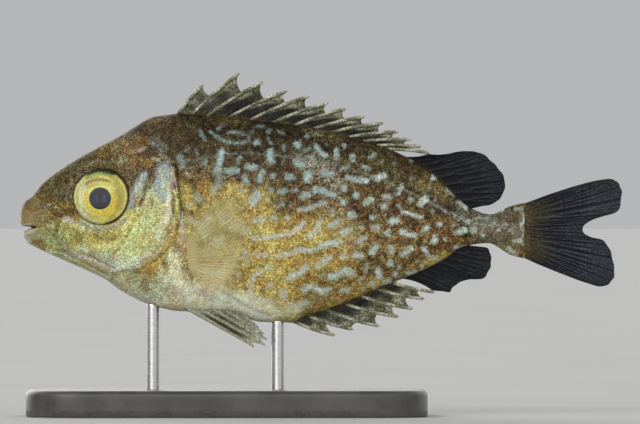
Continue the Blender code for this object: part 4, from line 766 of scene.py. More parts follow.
class Shader:
    """One finish's node tree, with a short call for each node that the fish needs."""

    def __init__(self, name: str) -> None:
        """Makes the material and finds its shader."""
        self.material = bpy.data.materials.new(name)
        self.material.use_nodes = True
        self.tree = self.material.node_tree
        self.surface = self.tree.nodes["Principled BSDF"]
        self.place = self.node("ShaderNodeTexCoord").outputs["Object"]

    def node(self, kind: str, **settings: str) -> bpy.types.Node:
        """A new node with its settings."""
        made = self.tree.nodes.new(kind)
        for key, value in settings.items():
            setattr(made, key, value)
        return made

    def join(self, value: Value | Tone, socket: Socket) -> None:
        """Links a socket to another, or sets a plain value on it."""
        if isinstance(value, bpy.types.NodeSocket):
            self.tree.links.new(value, socket)
        elif isinstance(value, tuple) and socket.type == "RGBA":
            socket.default_value = (*value, 1.0)
        else:
            socket.default_value = value

    def set(self, **values: Value | Tone) -> None:
        """Sets sockets of the surface shader, with _ in place of a blank in their names."""
        for key, value in values.items():
            self.join(value, self.surface.inputs[key.replace("_", " ")])

    def painted(self, name: str, output: str = "Fac") -> Socket:
        """The value or colour painted on the mesh under a name."""
        return self.node("ShaderNodeAttribute", attribute_name=name).outputs[output]

    def maths(self, operation: str, *values: Value) -> Socket:
        """One step of arithmetic."""
        made = self.node("ShaderNodeMath", operation=operation)
        for value, socket in zip(values, made.inputs):
            self.join(value, socket)
        return made.outputs[0]

    def vector(self, operation: str, first: Value | Tone, second: Value | Tone) -> Socket:
        """One step of arithmetic on each part of a colour or place."""
        made = self.node("ShaderNodeVectorMath", operation=operation)
        self.join(first, made.inputs[0])
        self.join(second, made.inputs["Scale" if operation == "SCALE" else 1])
        return made.outputs[0]

    def times(self, first: Value, second: Value) -> Socket:
        """The product of two values."""
        return self.maths("MULTIPLY", first, second)

    def eased_off(self, factor: Value, share: Value) -> Socket:
        """A factor of which only a share is felt, so that it is 1 where the share is nought."""
        return self.maths("MULTIPLY_ADD", self.maths("SUBTRACT", factor, 1.0), share, 1.0)

    def eased(self, value: Value, low: float, high: float, start: float = 0.0, end: float = 1.0) -> Socket:
        """A value eased from start to end as it goes from the low to the high one."""
        made = self.node("ShaderNodeMapRange", interpolation_type="SMOOTHSTEP")
        for item, socket in zip((value, low, high, start, end), made.inputs):
            self.join(item, socket)
        return made.outputs[0]

    def mix(self, share: Value, first: Value | Tone, second: Value | Tone, blend: str = "MIX") -> Socket:
        """Two colours mixed by a share."""
        made = self.node("ShaderNodeMix", data_type="RGBA", blend_type=blend)
        colours = [socket for socket in made.inputs if socket.type == "RGBA"]
        self.join(share, made.inputs[0])
        self.join(first, colours[0])
        self.join(second, colours[1])
        return next(socket for socket in made.outputs if socket.type == "RGBA")

    def noise(
        self, size: float, detail: float = 2.0, roughness: float = 0.5, where: Socket | None = None
    ) -> Socket:
        """Soft noise with features of a size in millimetres."""
        made = self.node("ShaderNodeTexNoise")
        self.join(self.place if where is None else where, made.inputs["Vector"])
        self.join(1.0 / (size * MM), made.inputs["Scale"])
        self.join(detail, made.inputs["Detail"])
        self.join(roughness, made.inputs["Roughness"])
        return made.outputs["Fac"]

    def grains(self, size: float) -> list[Socket]:
        """Three random values for each grain of a field of grains of a size in millimetres."""
        made = self.node("ShaderNodeTexVoronoi")
        self.join(self.place, made.inputs["Vector"])
        self.join(1.0 / (size * MM), made.inputs["Scale"])
        parts = self.node("ShaderNodeSeparateColor")
        self.join(made.outputs["Color"], parts.inputs[0])
        return list(parts.outputs)

    def scaled(self, colour: Value | Tone, by: Value) -> Socket:
        """A colour made brighter or darker by a factor."""
        return self.vector("SCALE", colour, by)

    def bump(self, height: Value, reach: float, under: Socket | None = None) -> Socket:
        """A normal raised by a height, whose full value is a reach in millimetres."""
        made = self.node("ShaderNodeBump")
        self.join(height, made.inputs["Height"])
        self.join(reach * MM, made.inputs["Distance"])
        if under is not None:
            self.join(under, made.inputs["Normal"])
        return made.outputs[0]


@dataclass(frozen=True)
class Speckle:
    """The glitter of a fish's skin: grains that differ in brightness and in hue."""

    size: float = 0.17
    darkest: float = 0.5
    brightest: float = 1.6
    shadow: Tone = (1.14, 0.93, 0.64)
    warm: Tone = (1.25, 0.98, 0.50)
    green: Tone = (0.92, 1.10, 0.72)
    blue: Tone = (0.92, 1.02, 1.30)
    hue_share: float = 0.42
    hue_steps: tuple[tuple[float, float], ...] = ((0.25, 0.4), (0.6, 0.7), (0.82, 0.88))
    glint: float = 1.6
    glint_from: float = 0.9
    fine_share: float = 0.25
    lid: Tone = (0.88, 0.88, 0.86)

    def over(self, look: Shader, colour: Value | Tone, amount: Value = 1.0) -> tuple[Socket, Socket]:
        """Lays the grains over a colour.

        Args:
            look: the finish in the making.
            colour: the colour below.
            amount: how strongly the grains show.

        Returns:
            The speckled colour, and each grain's own random value.
        """
        light, hue, glint = look.grains(self.size)
        fine = look.noise(self.size * 0.8, 1.0)
        coarse = look.times(light, 1 - self.fine_share)
        blended = look.maths("ADD", coarse, look.times(fine, self.fine_share))
        factor = look.eased(blended, 0.15, 0.95, self.darkest, self.brightest)
        glints = look.eased(glint, self.glint_from, self.glint_from + 0.05, 1.0, self.glint)
        factor = look.times(factor, glints)
        tint: Value | Tone = self.warm
        for (low, high), other in zip(self.hue_steps, (WHITE, self.green, self.blue)):
            tint = look.mix(look.eased(hue, low, high), tint, other)
        full = look.maths("MINIMUM", look.times(amount, 2.0), 1.0)
        tinted = look.mix(look.times(full, self.hue_share), colour, tint, "MULTIPLY")
        shade = look.mix(look.eased(blended, 0.2, 0.6), self.shadow, WHITE)
        tinted = look.mix(full, tinted, shade, "MULTIPLY")
        lit = look.scaled(tinted, look.eased_off(factor, amount))
        return look.vector("MINIMUM", lit, self.lid), light


@dataclass(frozen=True)
class SkinFinish:
    """Skin painted with ground tones, pale marks and shade in its creases, under a fine glitter."""

    speckle: Speckle = Speckle()
    mark_speckle: Speckle = Speckle(0.18, 0.7, 1.34, (1.0, 0.98, 0.92), hue_share=0.3, glint=1.2)
    mark_fray: float = 1.1
    fray_size: float = 0.55
    cloud_size: float = 3.2
    cloud_depths: tuple[float, float] = (1.26, 0.77)
    mottle_size: float = 0.85
    mottle_depths: tuple[float, float] = (1.4, 0.56)
    cool_cast: Tone = (0.90, 1.04, 1.02)
    warm_cast: Tone = (1.16, 0.95, 0.72)
    # The colour of the shade painted in the creases.
    crease_tone: Tone = (0.020, 0.013, 0.011)
    roughness: float = 0.45
    coat: float = 0.02

    def material(self) -> bpy.types.Material:
        """The skin's material."""
        look = Shader("skin")
        grains = look.painted("grain")
        cloud = look.noise(self.cloud_size, 4.0, 0.65)
        mottle = look.noise(self.mottle_size, 3.0, 0.7)
        ground = look.painted("ground", "Color")
        warm = look.mix(look.eased(cloud, 0.40, 0.68), self.cool_cast, self.warm_cast)
        ground = look.mix(look.times(grains, 0.9), ground, warm, "MULTIPLY")
        clouded = look.eased(cloud, 0.32, 0.68, *self.cloud_depths)
        depth = look.times(clouded, look.eased(mottle, 0.3, 0.7, *self.mottle_depths))
        cloudy = look.times(grains, look.painted("cloudy"))
        ground = look.scaled(ground, look.eased_off(depth, cloudy))
        ground, light = self.speckle.over(look, ground, grains)
        fray = look.maths("SUBTRACT", look.noise(self.fray_size, 3.0, 0.65), 0.5)
        fray = look.times(fray, self.mark_fray)
        inside = look.maths("ADD", look.painted("mark"), fray)
        inside = look.maths("MULTIPLY_ADD", look.maths("SUBTRACT", light, 0.5), 0.22, inside)
        mask = look.times(look.eased(inside, -0.26, 0.42), look.painted("mark_strength"))
        mask = look.times(mask, look.eased(mottle, 0.3, 0.75, 0.8, 1.0))
        pale, _ = self.mark_speckle.over(look, look.painted("pale", "Color"))
        pale = look.scaled(pale, look.eased(mottle, 0.3, 0.7, 0.85, 1.2))
        colour = look.mix(mask, ground, pale)
        # Painted shade in the creases, along the gill slit, in the nostrils, at the orbit's edge and inside
        # the mouth.
        crease = look.eased(look.painted("crease"), 0.0, 1.0)
        colour = look.mix(crease, colour, self.crease_tone)
        relief = look.maths("MULTIPLY_ADD", look.noise(0.5, 3.0), 0.8, light)
        look.set(Base_Color=colour, Roughness=self.roughness, Coat_Weight=self.coat, Coat_Roughness=0.25)
        look.set(Specular_IOR_Level=0.14, Normal=look.bump(relief, 0.03))
        return look.material


@dataclass(frozen=True)
class EyeFinish:
    """An eye under a clear cornea, its iris painted in rings with fine fibres."""

    fibre_size: float = 0.16
    roughness: float = 0.3

    def material(self) -> bpy.types.Material:
        """The eyes' material."""
        look = Shader("eye")
        fleck = look.eased(look.noise(self.fibre_size, 2.0, 0.6), 0.3, 0.7, 0.72, 1.25)
        grain, _, _ = look.grains(self.fibre_size)
        fleck = look.times(fleck, look.eased(grain, 0.0, 1.0, 0.85, 1.15))
        factor = look.eased_off(fleck, look.painted("grain"))
        look.set(Base_Color=look.scaled(look.painted("ground", "Color"), factor))
        look.set(Roughness=self.roughness, Coat_Weight=0.22, Coat_Roughness=0.04, Coat_IOR=1.38)
        look.set(Specular_IOR_Level=0.12, Normal=look.bump(fleck, 0.012))
        return look.material


@dataclass(frozen=True)
class FinFinish:
    """A fin's painted membrane and rays, with a fine grain and a little light through it."""

    name: str
    speckle: Speckle
    roughness: float = 0.5
    clear: bool = False

    def material(self) -> bpy.types.Material:
        """The fin's material."""
        look = Shader(self.name)
        colour, light = self.speckle.over(look, look.painted("ground", "Color"), look.painted("grain"))
        relief = look.maths("MULTIPLY_ADD", look.noise(0.3, 2.0), 0.7, light)
        look.set(Base_Color=colour, Roughness=self.roughness, Specular_IOR_Level=0.1)
        look.set(Normal=look.bump(relief, 0.02))
        if self.clear:
            look.set(Alpha=look.painted("cover"))
        return look.material


@dataclass(frozen=True)
class LacquerFinish:
    """The stand's base: dark lacquer with a faint brushed grain and lighter worn edges."""

    dark: Tone = (0.030, 0.029, 0.028)
    light: Tone = (0.055, 0.053, 0.050)
    worn: Tone = (0.10, 0.095, 0.088)

    def material(self) -> bpy.types.Material:
        """The base's material."""
        look = Shader("stand_base")
        cloud = look.noise(5.0, 4.0, 0.6)
        grain = look.noise(0.35, 2.0, 0.6)
        colour = look.mix(look.eased(cloud, 0.35, 0.65), self.dark, self.light)
        edge = look.eased(look.node("ShaderNodeNewGeometry").outputs["Pointiness"], 0.505, 0.56)
        worn = look.times(edge, look.eased(grain, 0.35, 0.6, 0.15, 0.8))
        colour = look.mix(worn, colour, self.worn)
        look.set(Base_Color=colour, Roughness=look.eased(grain, 0.3, 0.7, 0.34, 0.46))
        look.set(Normal=look.bump(grain, 0.006))
        return look.material


@dataclass(frozen=True)
class SteelFinish:
    """The stand's rods: steel brushed round the rod."""

    steel: Tone = (0.56, 0.56, 0.55)
    dull: Tone = (0.40, 0.40, 0.39)
    stretch: Tone = (0.08, 0.08, 1.0)

    def material(self) -> bpy.types.Material:
        """The rods' material."""
        look = Shader("stand_rod")
        lines = look.noise(0.09, 3.0, 0.6, look.vector("MULTIPLY", look.place, self.stretch))
        look.set(Base_Color=look.mix(look.eased(lines, 0.3, 0.7), self.dull, self.steel))
        look.set(Metallic=1.0, Roughness=look.eased(lines, 0.3, 0.7, 0.26, 0.4))
        look.set(Normal=look.bump(lines, 0.006))
        return look.material


@dataclass(frozen=True)
class Fold:
    """A fold of the skin: a groove along a line, a raised lip beside it, and painted shade in its crease."""

    line: Line
    deep: float
    width: float
    lip: float
    lip_at: float
    lip_width: float
    # How much shade is painted in the fold's crease, and how wide that shade is.
    dark: float = 0.0
    shade_width: float = 0.2

    def relief(self, x: Array, z: Array) -> tuple[Array, Array]:
        """How far the fold stands out at each place, and how much shade is painted in its crease."""
        away = distance_to(rounded(self.line), x, z)
        proud = self.lip * bell(away - self.lip_at, self.lip_width) - self.deep * bell(away, self.width)
        return proud, self.dark * bell(away, self.shade_width)


# The cheek's edge, three folds of the jaw and one of the belly.
FOLDS = [
    Fold(
        pairs([20, 6.8, 18.8, 4.3, 17.5, 1.4, 16.9, -1.2, 15.9, -3.6, 13.9, -5.9]),
        0.12, 0.25, 0.07, 0.45, 0.35, 0.25,
    ),
    Fold(pairs([3, -0.8, 4.4, -2.3, 4.9, -3.7, 4.6, -5]), 0.14, 0.22, 0.07, 0.4, 0.3, 0.168),
    Fold(pairs([5.2, -5.2, 6.8, -5.7, 9.6, -7, 11.4, -8, 13, -9]), 0.1, 0.22, 0.05, 0.4, 0.3, 0.12),
    Fold(pairs([9.4, -5.6, 12, -6.9, 14.2, -8]), 0.1, 0.22, 0.05, 0.4, 0.3, 0.12),
    Fold(pairs([29.8, -11.2, 31.9, -12.4, 33.9, -13.6, 35.6, -14.4, 37.5, -15]), 0.12, 0.3, 0.06, 0.6, 0.5),
]


@dataclass
class EyePlace:
    """Where an eye sits: its centre just under the right flank's skin, and the axes of its own plane."""

    sunk: float = 0.1

    def __post_init__(self) -> None:
        """Works out the centre and the axes."""
        x, z = (np.array(part) for part in EYE_CENTRE)
        self.out = BODY.normal(x, z)
        self.centre = np.array([x, BODY.flank(x, z), z]) - self.out * self.sunk
        across = np.cross(self.out, (1.0, 0.0, 0.0))
        self.up = across / np.linalg.norm(across)
        self.back = np.cross(self.up, self.out)

    def flat(self, points: Array) -> tuple[Array, Array, Array]:
        """How far points lie back, up and out from the eye's centre."""
        away = points - self.centre
        return away @ self.back, away @ self.up, away @ self.out

    def solid(self, back: Array, up: Array, out: Array) -> Array:
        """The points that lie so far back, up and out."""
        return self.centre + back[..., None] * self.back + up[..., None] * self.up + out[..., None] * self.out


@dataclass
class Flesh:
    """The whole skin as one closed surface: head, jaw, gill covers, trunk and tail stem."""

    stations: Line = ((0.05, 12), (0.5, 30), (3.0, 166), (26.0, 190), (STEM_END, 0))
    sides: int = 240
    inset: float = 0.03
    cover_proud: float = 0.2
    rim_proud: float = 0.15
    slit_depth: float = 0.32
    orbit_proud: float = 0.2
    orbit_radius: float = 4.62
    socket_radius: float = 4.3
    socket_depth: float = 2.7
    lip_proud: float = 0.16
    nostrils: Line = ((6.9, 5.1, 0.27), (8.1, 5.9, 0.33))
    mouth_front: Line = ((-1.0, -1.4), (-1.0, -2.65))
    mouth_half: float = 0.12
    sheath_proud: float = 0.12
    line_proud: float = 0.05
    fine_places: int = 721
    tail_taper: float = 1.6
    tail_slim: float = 0.45
    cover_back: Line = ((10.0, -8.0), (10.0, 7.0))
    finish: SkinFinish = SkinFinish()

    def spread(self) -> Array:
        """Where along the body the rings stand."""
        lengths = [
            np.linspace(first, last, int(count), endpoint=False)
            for (first, count), (last, _) in zip(self.stations, self.stations[1:])
        ]
        return np.concatenate([*lengths, [self.stations[-1][0]]])

    def half_rings(self) -> Array:
        """The right half of each ring, from the belly's middle line to the back's, evenly spaced."""
        x = self.spread()[:, None]
        angle = np.linspace(-math.pi / 2, math.pi / 2, self.fine_places)[None]
        tail = ramp(x, STEM_END - self.tail_taper, STEM_END)
        half = (BODY.breadth(x) - self.inset) * (1 - self.tail_slim * tail)
        y = half * np.cos(angle).clip(0) ** BODY.fullness
        middle = BODY.middle(x)
        reach = np.where(angle > 0, BODY.back(x) - middle, middle - BODY.belly(x)) - self.inset
        z = middle + reach * np.sin(angle)
        run = np.cumsum(np.hypot(np.diff(y, axis=1), np.diff(z, axis=1)), 1)
        run = np.concatenate([np.zeros((len(run), 1)), run], 1)
        count = self.sides // 2 + 1
        rings = np.empty((len(x), count, 3))
        for k, ring_x in enumerate(x[:, 0]):
            even = np.linspace(0, run[k, -1], count)
            flank = [np.interp(even, run[k], part[k]) for part in (y, z)]
            rings[k] = np.stack([np.full(count, ring_x), *flank], -1)
        return rings

    def normals(self, rings: Array) -> Array:
        """The unit normals of the half rings, pointing out."""
        out = np.cross(np.gradient(rings, axis=0), np.gradient(rings, axis=1))
        out[..., [0, -1], 1] = 0.0
        out /= np.linalg.norm(out, axis=-1, keepdims=True) + 1e-12
        outwards = (out * (rings - rings.mean(1, keepdims=True))).sum(-1).mean()
        return -out if outwards < 0 else out

    def relief(self, x: Array, y: Array, z: Array) -> tuple[Array, Array]:
        """The folds and plates of the skin.

        Args:
            x: places along the body.
            y: distances from the middle plane.
            z: heights.

        Returns:
            How far the skin stands out, and how much shade is painted in its creases.
        """
        slit = rounded(GILL_SLIT[2:-1])
        cover = [*rounded(GILL_SLIT[3:-3]), *rounded(COVER_FRONT)]
        depth = distance_to(cover, x, z) * np.where(within(cover, x, z), 1, -1)
        proud = self.cover_proud * ramp(depth, -0.1, 0.5)
        rim = rounded(BONY_RIM)
        inner = distance_to(rim, x, z) * np.where(within([*rim, *self.cover_back], x, z), 1, -1)
        on_cover = ramp(depth, 0.0, 0.4)
        proud += self.rim_proud * ramp(inner, -0.12, 0.12) * on_cover
        # Painted shade under the bony rim; more follows along the gill slit, in the folds and in the
        # nostrils.
        crease = (0.06 + 0.4 * ramp(-z, -1.6, 1.0)) * bell(inner + 0.1, 0.085) * on_cover

        to_slit = distance_to(slit, x, z)
        faded = (1 - ramp(z, 7.0, 9.5)) * ramp(x, 15.0, 18.5)
        proud -= self.slit_depth * (0.4 + 0.6 * ramp(z, -2.0, 0.0)) * bell(to_slit, 0.18) * faded
        crease += (0.04 + 0.5 * ramp(z, -0.9, 0.1)) * bell(to_slit, 0.13) * faded
        for fold in FOLDS:
            raised, dark = fold.relief(x, z)
            proud += raised
            crease += dark
        proud += self.line_proud * bell(distance_to(rounded(LATERAL_LINE), x, z), 0.28)
        for lip in (UPPER_LIP, LOWER_LIP):
            proud += self.lip_proud * bell(distance_to(lip, x, z), 0.36)
        for nx, nz, radius in self.nostrils:
            away = np.hypot(x - nx, z - nz)
            proud += 0.1 * bell(away - radius * 1.6, 0.16)
            proud -= 0.4 * ramp(-away, -radius * 1.1, -radius * 0.4)
            crease += 0.6 * ramp(-away, -radius * 1.1, -radius * 0.5)
        for spines, on_back in ((DORSAL_SPINES, True), (ANAL_SPINES, False)):
            for root_x, _, _ in spines:
                spot = BODY.edge(np.array(root_x + 0.2), on_back, -0.2)
                away = np.hypot((x - spot[0]) / 0.9, (z - spot[1]) / 0.7)
                proud += self.sheath_proud * bell(away, 0.8) * bell(y, 0.9)
        return proud, crease

    def open_mouth(self, points: Array) -> tuple[Array, Array]:
        """Draws the skin between the lips back into the mouth.

        Args:
            points: the skin's points.

        Returns:
            The points, and how far each lies inside the mouth.
        """
        cx, cz = MOUTH_CORNER
        corners = (cx, cz + self.mouth_half), (cx, cz - self.mouth_half)
        wedge = [self.mouth_front[0], *corners, self.mouth_front[1]]
        x, y, z = (points[..., k] for k in range(3))
        inside = distance_to(wedge, x, z) * np.where(within(wedge, x, z), 1, -1)
        share = ramp(inside, -0.03, 0.14)
        goal = np.stack([x * 0.35 + cx * 0.62, y * 0.35, z * 0.5 + cz * 0.5], -1)
        return points + (goal - points) * share[..., None], share

    def set_eye(self, points: Array, eye: EyePlace) -> tuple[Array, Array]:
        """Raises the fold round the eye and drops the skin behind the eyeball.

        Args:
            points: the skin's points.
            eye: the right eye's place.

        Returns:
            The points, and how much shade is painted at the orbit's edge, most at its top and its rear.
        """
        back, up, out = eye.flat(points)
        radius = np.hypot(back, up)
        bowl = -self.socket_depth * np.sqrt(1 - (radius / self.socket_radius).clip(0, 1) ** 2) - 0.12
        fold = self.orbit_proud * bell(radius - self.orbit_radius, 0.3) - 0.1 * bell(radius - 5.3, 0.35)
        share = ramp(radius, self.socket_radius - 0.5, self.socket_radius - 0.14)
        height = bowl + (out + fold - bowl) * share
        near = (radius < 7.0) & (out > -3.0)
        moved = np.where(near[..., None], eye.solid(back, up, height), points)
        # Painted shade at the orbit's edge, deepest at its top and its rear, and faintly in the groove round
        # it.
        right, top = ramp(back - 0.4 * up, -1.5, 2.0), ramp(up, 2.4, 3.8)
        dark = (0.65 * right + 0.5 * top) * ramp(-radius, -4.42, -4.22) + 0.1 * bell(radius - 5.0, 0.25)
        return moved, near * dark

    def marked(self, x: Array, z: Array) -> tuple[Array, Array]:
        """How deep each place lies inside a pale mark, and that mark's strength."""
        depth, strength = np.full(x.shape, -9.0), np.zeros(x.shape)
        for half, force, *numbers in MARKS:
            inside = half - distance_to(pairs(numbers), x, z)
            nearer = inside > depth
            depth, strength = np.where(nearer, inside, depth), np.where(nearer, force, strength)
        thread = 0.16 - distance_to(rounded(LATERAL_LINE), x, z)
        nearer = (thread > depth) & (depth < -0.25)
        return np.where(nearer, thread, depth), np.where(nearer, 0.4, strength)

    def tones(self, x: Array, z: Array) -> Array:
        """The ground colours of the skin."""
        height = (z - BODY.belly(x)) / (BODY.back(x) - BODY.belly(x))
        shares, tones = zip(*HEIGHT_TONES)
        colours = np.array([tone.value for tone in tones])
        ground = np.stack([np.interp(height, shares, colours[:, k]) for k in range(3)], -1)
        return painted(ground, SKIN_STROKES, x, z)

    def build(self) -> Patchwork:
        """Shapes and paints the skin."""
        rings = self.half_rings()
        x, y, z = (rings[..., k].copy() for k in range(3))
        proud, crease = self.relief(x, y, z)
        points = rings + self.normals(rings) * proud[..., None]
        points, socket = self.set_eye(points, EyePlace())
        points, mouth = self.open_mouth(points)
        points[:, [0, -1], 1] = 0.0
        # Painted shade in the creases, at the orbit's edge and, strongest, inside the mouth.
        crease = (crease + socket + 1.2 * mouth).clip(0, 1)
        mark, strength = self.marked(x, z)
        low = ramp(x, 38.0, 43.0) * ramp(-z, 0.0, 5.0)
        pale = coated(
            plain(Hue.MARK_TEAL, x),
            (Hue.MARK_WARM, ramp(-z, -6.0, 2.0) * ramp(-x, -52.0, -42.0)),
            (Hue.MARK_MINT, np.maximum(low, ramp(x, 44.0, 56.0))),
        )
        ground = self.tones(x, z)
        head = 1 - ramp(x, 22.0, 25.0)
        dull = 1.55 - 0.6 * ramp(ground[..., 1], 0.05, 0.25)
        dull = dull - (0.5 - 0.28 * head) * ramp(ground[..., 2], 0.1, 0.4)
        grain = (0.35 + 0.65 * ramp(x, 1.5, 4.5)) * (1 - 0.35 * ramp(x, 66.0, 70.0)) * dull
        paint = {
            "ground": ground, "crease": crease, "mark": mark, "mark_strength": strength,
            "pale": pale, "grain": grain, "cloudy": 1 - 0.5 * head,
        }

        def mirrored(values: Array) -> Array:
            return np.concatenate([values, values[:, -2:0:-1]], 1)

        whole = mirrored(points)
        whole[:, self.sides // 2 + 1 :, 1] *= -1
        return Patchwork().add_rings(whole, {name: mirrored(values) for name, values in paint.items()})

    def dress(self) -> None:
        """Makes the skin, in place of the frame's flesh."""
        nodes = ("head", "lower_jaw", "gill_cover_left", "gill_cover_right", "trunk", "tail_stem")
        self.build().piece("skin", self.finish.material(), "skin", *nodes)


@dataclass
class Eyes:
    """The two eyeballs: a shallow clear dome with the painted iris, and a bowl behind it."""

    radius: float = 4.15
    dome: float = 1.05
    bowl: float = 2.5
    pupil: float = 1.63
    pole: float = 0.004
    dome_rings: int = 64
    bowl_rings: int = 12
    segments: int = 120
    finish: EyeFinish = EyeFinish()

    def strokes(self) -> list[Stroke]:
        """The iris, painted as arcs in side view, with painted shade over its top and along its rear and
        lower edge.
        """
        eye, pupil = EYE_CENTRE, PUPIL_CENTRE
        return [
            Stroke(Hue.IRIS_CREAM, 0.8, 0.8, arc(eye, 3.1, 140, 225)),
            Stroke(Hue.IRIS_OLIVE, 0.85, 0.75, arc(eye, 3.3, -60, 62)),
            Stroke(Hue.IRIS_OLIVE, 0.6, 0.6, arc(eye, 3.0, 75, 140), 0.9),
            Stroke(Hue.IRIS_PALE, 0.5, 0.14, arc(eye, 3.9, 145, 212)),
            Stroke(Hue.IRIS_GREEN, 0.4, 0.2, arc(eye, 3.6, 150, 205)),
            Stroke(Hue.LILAC, 0.5, 0.18, arc(eye, 3.9, 212, 265)),
            Stroke(Hue.IRIS_PALE, 0.6, 0.2, arc(eye, 3.7, -50, 40)),
            Stroke(Hue.IRIS_GOLD, 0.95, 0.42, arc(pupil, 2.1, 165, 375)),
            Stroke(Hue.IRIS_GOLD, 0.9, 0.4, arc(pupil, 2.6, 285, 345)),
            Stroke(Hue.IRIS_RUST, 0.3, 0.3, arc(pupil, 2.9, 215, 265)),
            Stroke(Hue.IRIS_PALE, 0.85, 0.2, arc(pupil, 1.9, 35, 150)),
            Stroke(Hue.IRIS_RUST, 0.4, 0.35, arc(pupil, 2.8, -25, 25)),
            Stroke(Hue.IRIS_RUST, 0.35, 0.2, [(10.2, 4.2), (10.9, 4.6), (11.8, 4.7)]),
            Stroke(Hue.IRIS_RUST, 0.35, 0.32, [(10.2, 4.9), (11.2, 5.4), (12.4, 5.5), (13.4, 5.1)], 0.9),
            Stroke(Hue.IRIS_RUST, 0.75, 0.14, IRIS_CREASE),
            Stroke(Hue.IRIS_PALE, 0.6, 0.14, [(12.0, 5.95), (13.4, 5.6), (14.0, 5.2)]),
            # The top of the iris in painted shade under the orbit's upper rim: a dark green band, a black
            # crescent over it and that crescent's jagged edge.
            Stroke(Hue.IRIS_GREEN, 0.85, 0.3, arc(eye, 3.55, 62, 128)),
            Stroke(Hue.EYE_BLACK, 0.95, 0.13, arc(eye, 4.05, 40, 148), 0.7),
            Stroke(Hue.EYE_BLACK, 0.95, 0.3, arc(eye, 3.98, 62, 120), 0.5),
            *(Stroke(Hue.EYE_BLACK, 0.8, 0.07, notch) for notch in TOP_SHADE_NOTCHES),
            # A thin dark brown rim of painted shade along the eye's rear and lower edge.
            Stroke(Hue.EYE_BROWN, 0.9, 0.15, arc(eye, 4.08, -80, 50), 0.7),
            Stroke(Hue.PINK, 0.5, 0.14, arc(eye, 4.03, 195, 262)),
        ]

    def glimmers(self) -> list[Stroke]:
        """Painted reflections: two faint upright glimmers of the lamps inside the pupil."""
        return [
            Stroke(Hue.PUPIL_SHEEN, 0.35, 0.2, [(11.6, 2.9), (11.55, 2.3)], 1.0),
            Stroke(Hue.PUPIL_SHEEN, 0.45, 0.22, [(12.65, 3.0), (12.7, 2.3)], 1.0),
        ]

    def build(self, side: Side) -> Patchwork:
        """Shapes and paints one eye."""
        down = np.radians(np.linspace(-85, 0, self.bowl_rings, endpoint=False))
        inwards = np.linspace(1, self.pole, self.dome_rings)
        radius = self.radius * np.concatenate([np.cos(down), inwards])
        dome = self.dome * np.sqrt(1 - inwards**2)
        height = np.concatenate([self.bowl * np.sin(down), dome])
        turn = np.linspace(0, math.tau, self.segments, endpoint=False)
        back, high = radius[:, None] * np.cos(turn), radius[:, None] * np.sin(turn)
        points = EyePlace().solid(back, high, np.broadcast_to(height[:, None], back.shape))
        x, z = points[..., 0], points[..., 2]
        ground = painted(plain(Hue.IRIS_YELLOW, x), self.strokes(), x, z)
        from_pupil = np.hypot(x - PUPIL_CENTRE[0], z - PUPIL_CENTRE[1])
        dark = 1 - ramp(from_pupil, self.pupil - 0.05, self.pupil + 0.03)
        rim = 0.5 * bell(from_pupil - self.pupil, 0.07)
        ground = coated(ground, (Hue.EYE_BLACK, rim), (Hue.PUPIL, dark))
        # Painted reflections of the lamps in the pupil.
        ground = painted(ground, self.glimmers(), x, z)
        return Patchwork().add_rings(points * (1, side.value, 1), {"ground": ground, "grain": 1 - dark})

    def dress(self) -> None:
        """Makes both eyes, in place of the frame's."""
        dress_both(self.build, "eye", "ball", self.finish.material(), "eye")


def ray_grid(rays: int, per_ray: int, rows: int) -> tuple[Array, Array, Array]:
    """Lays the grid of a fin of soft rays.

    Args:
        rays: how many rays it has.
        per_ray: the columns of the grid for each of them.
        rows: the rows of the grid, from root to tip.

    Returns:
        The columns' share across the fin, the rows' share along it, and each column's distance from its ray,
        as a share of the gap between rays.
    """
    s, t = np.linspace(0, 1, rays * per_ray + 1)[None], np.linspace(0, 1, rows)[:, None]
    across = (s * rays) % 1.0 - 0.5
    across[0, -1] = 0.5
    return s, t, across


def fanned(root: Array, end: Array, across: Array, t: Array, scallop: float) -> Array:
    """The side view of a fin's grid from its root to its free edge, which is drawn in between the rays."""
    reach = np.linalg.norm(end - root, axis=1, keepdims=True)
    end = end + (root - end) / reach * scallop * (1 - bell(across[0], 0.3))[:, None]
    return root[None] * (1 - t[..., None]) + end[None] * t[..., None]


def branches(across: Array, t: Array) -> Array:
    """How high soft rays stand: one at the root, which forks into two and then four."""
    first = ramp(t, 0.22, 0.5) * 0.22
    second = ramp(t, 0.55, 0.85) * 0.11
    width = 0.15 - 0.085 * t
    return np.max([bell(across - a * first - b * second, width) for a in (-1, 1) for b in (-1, 1)], axis=0)


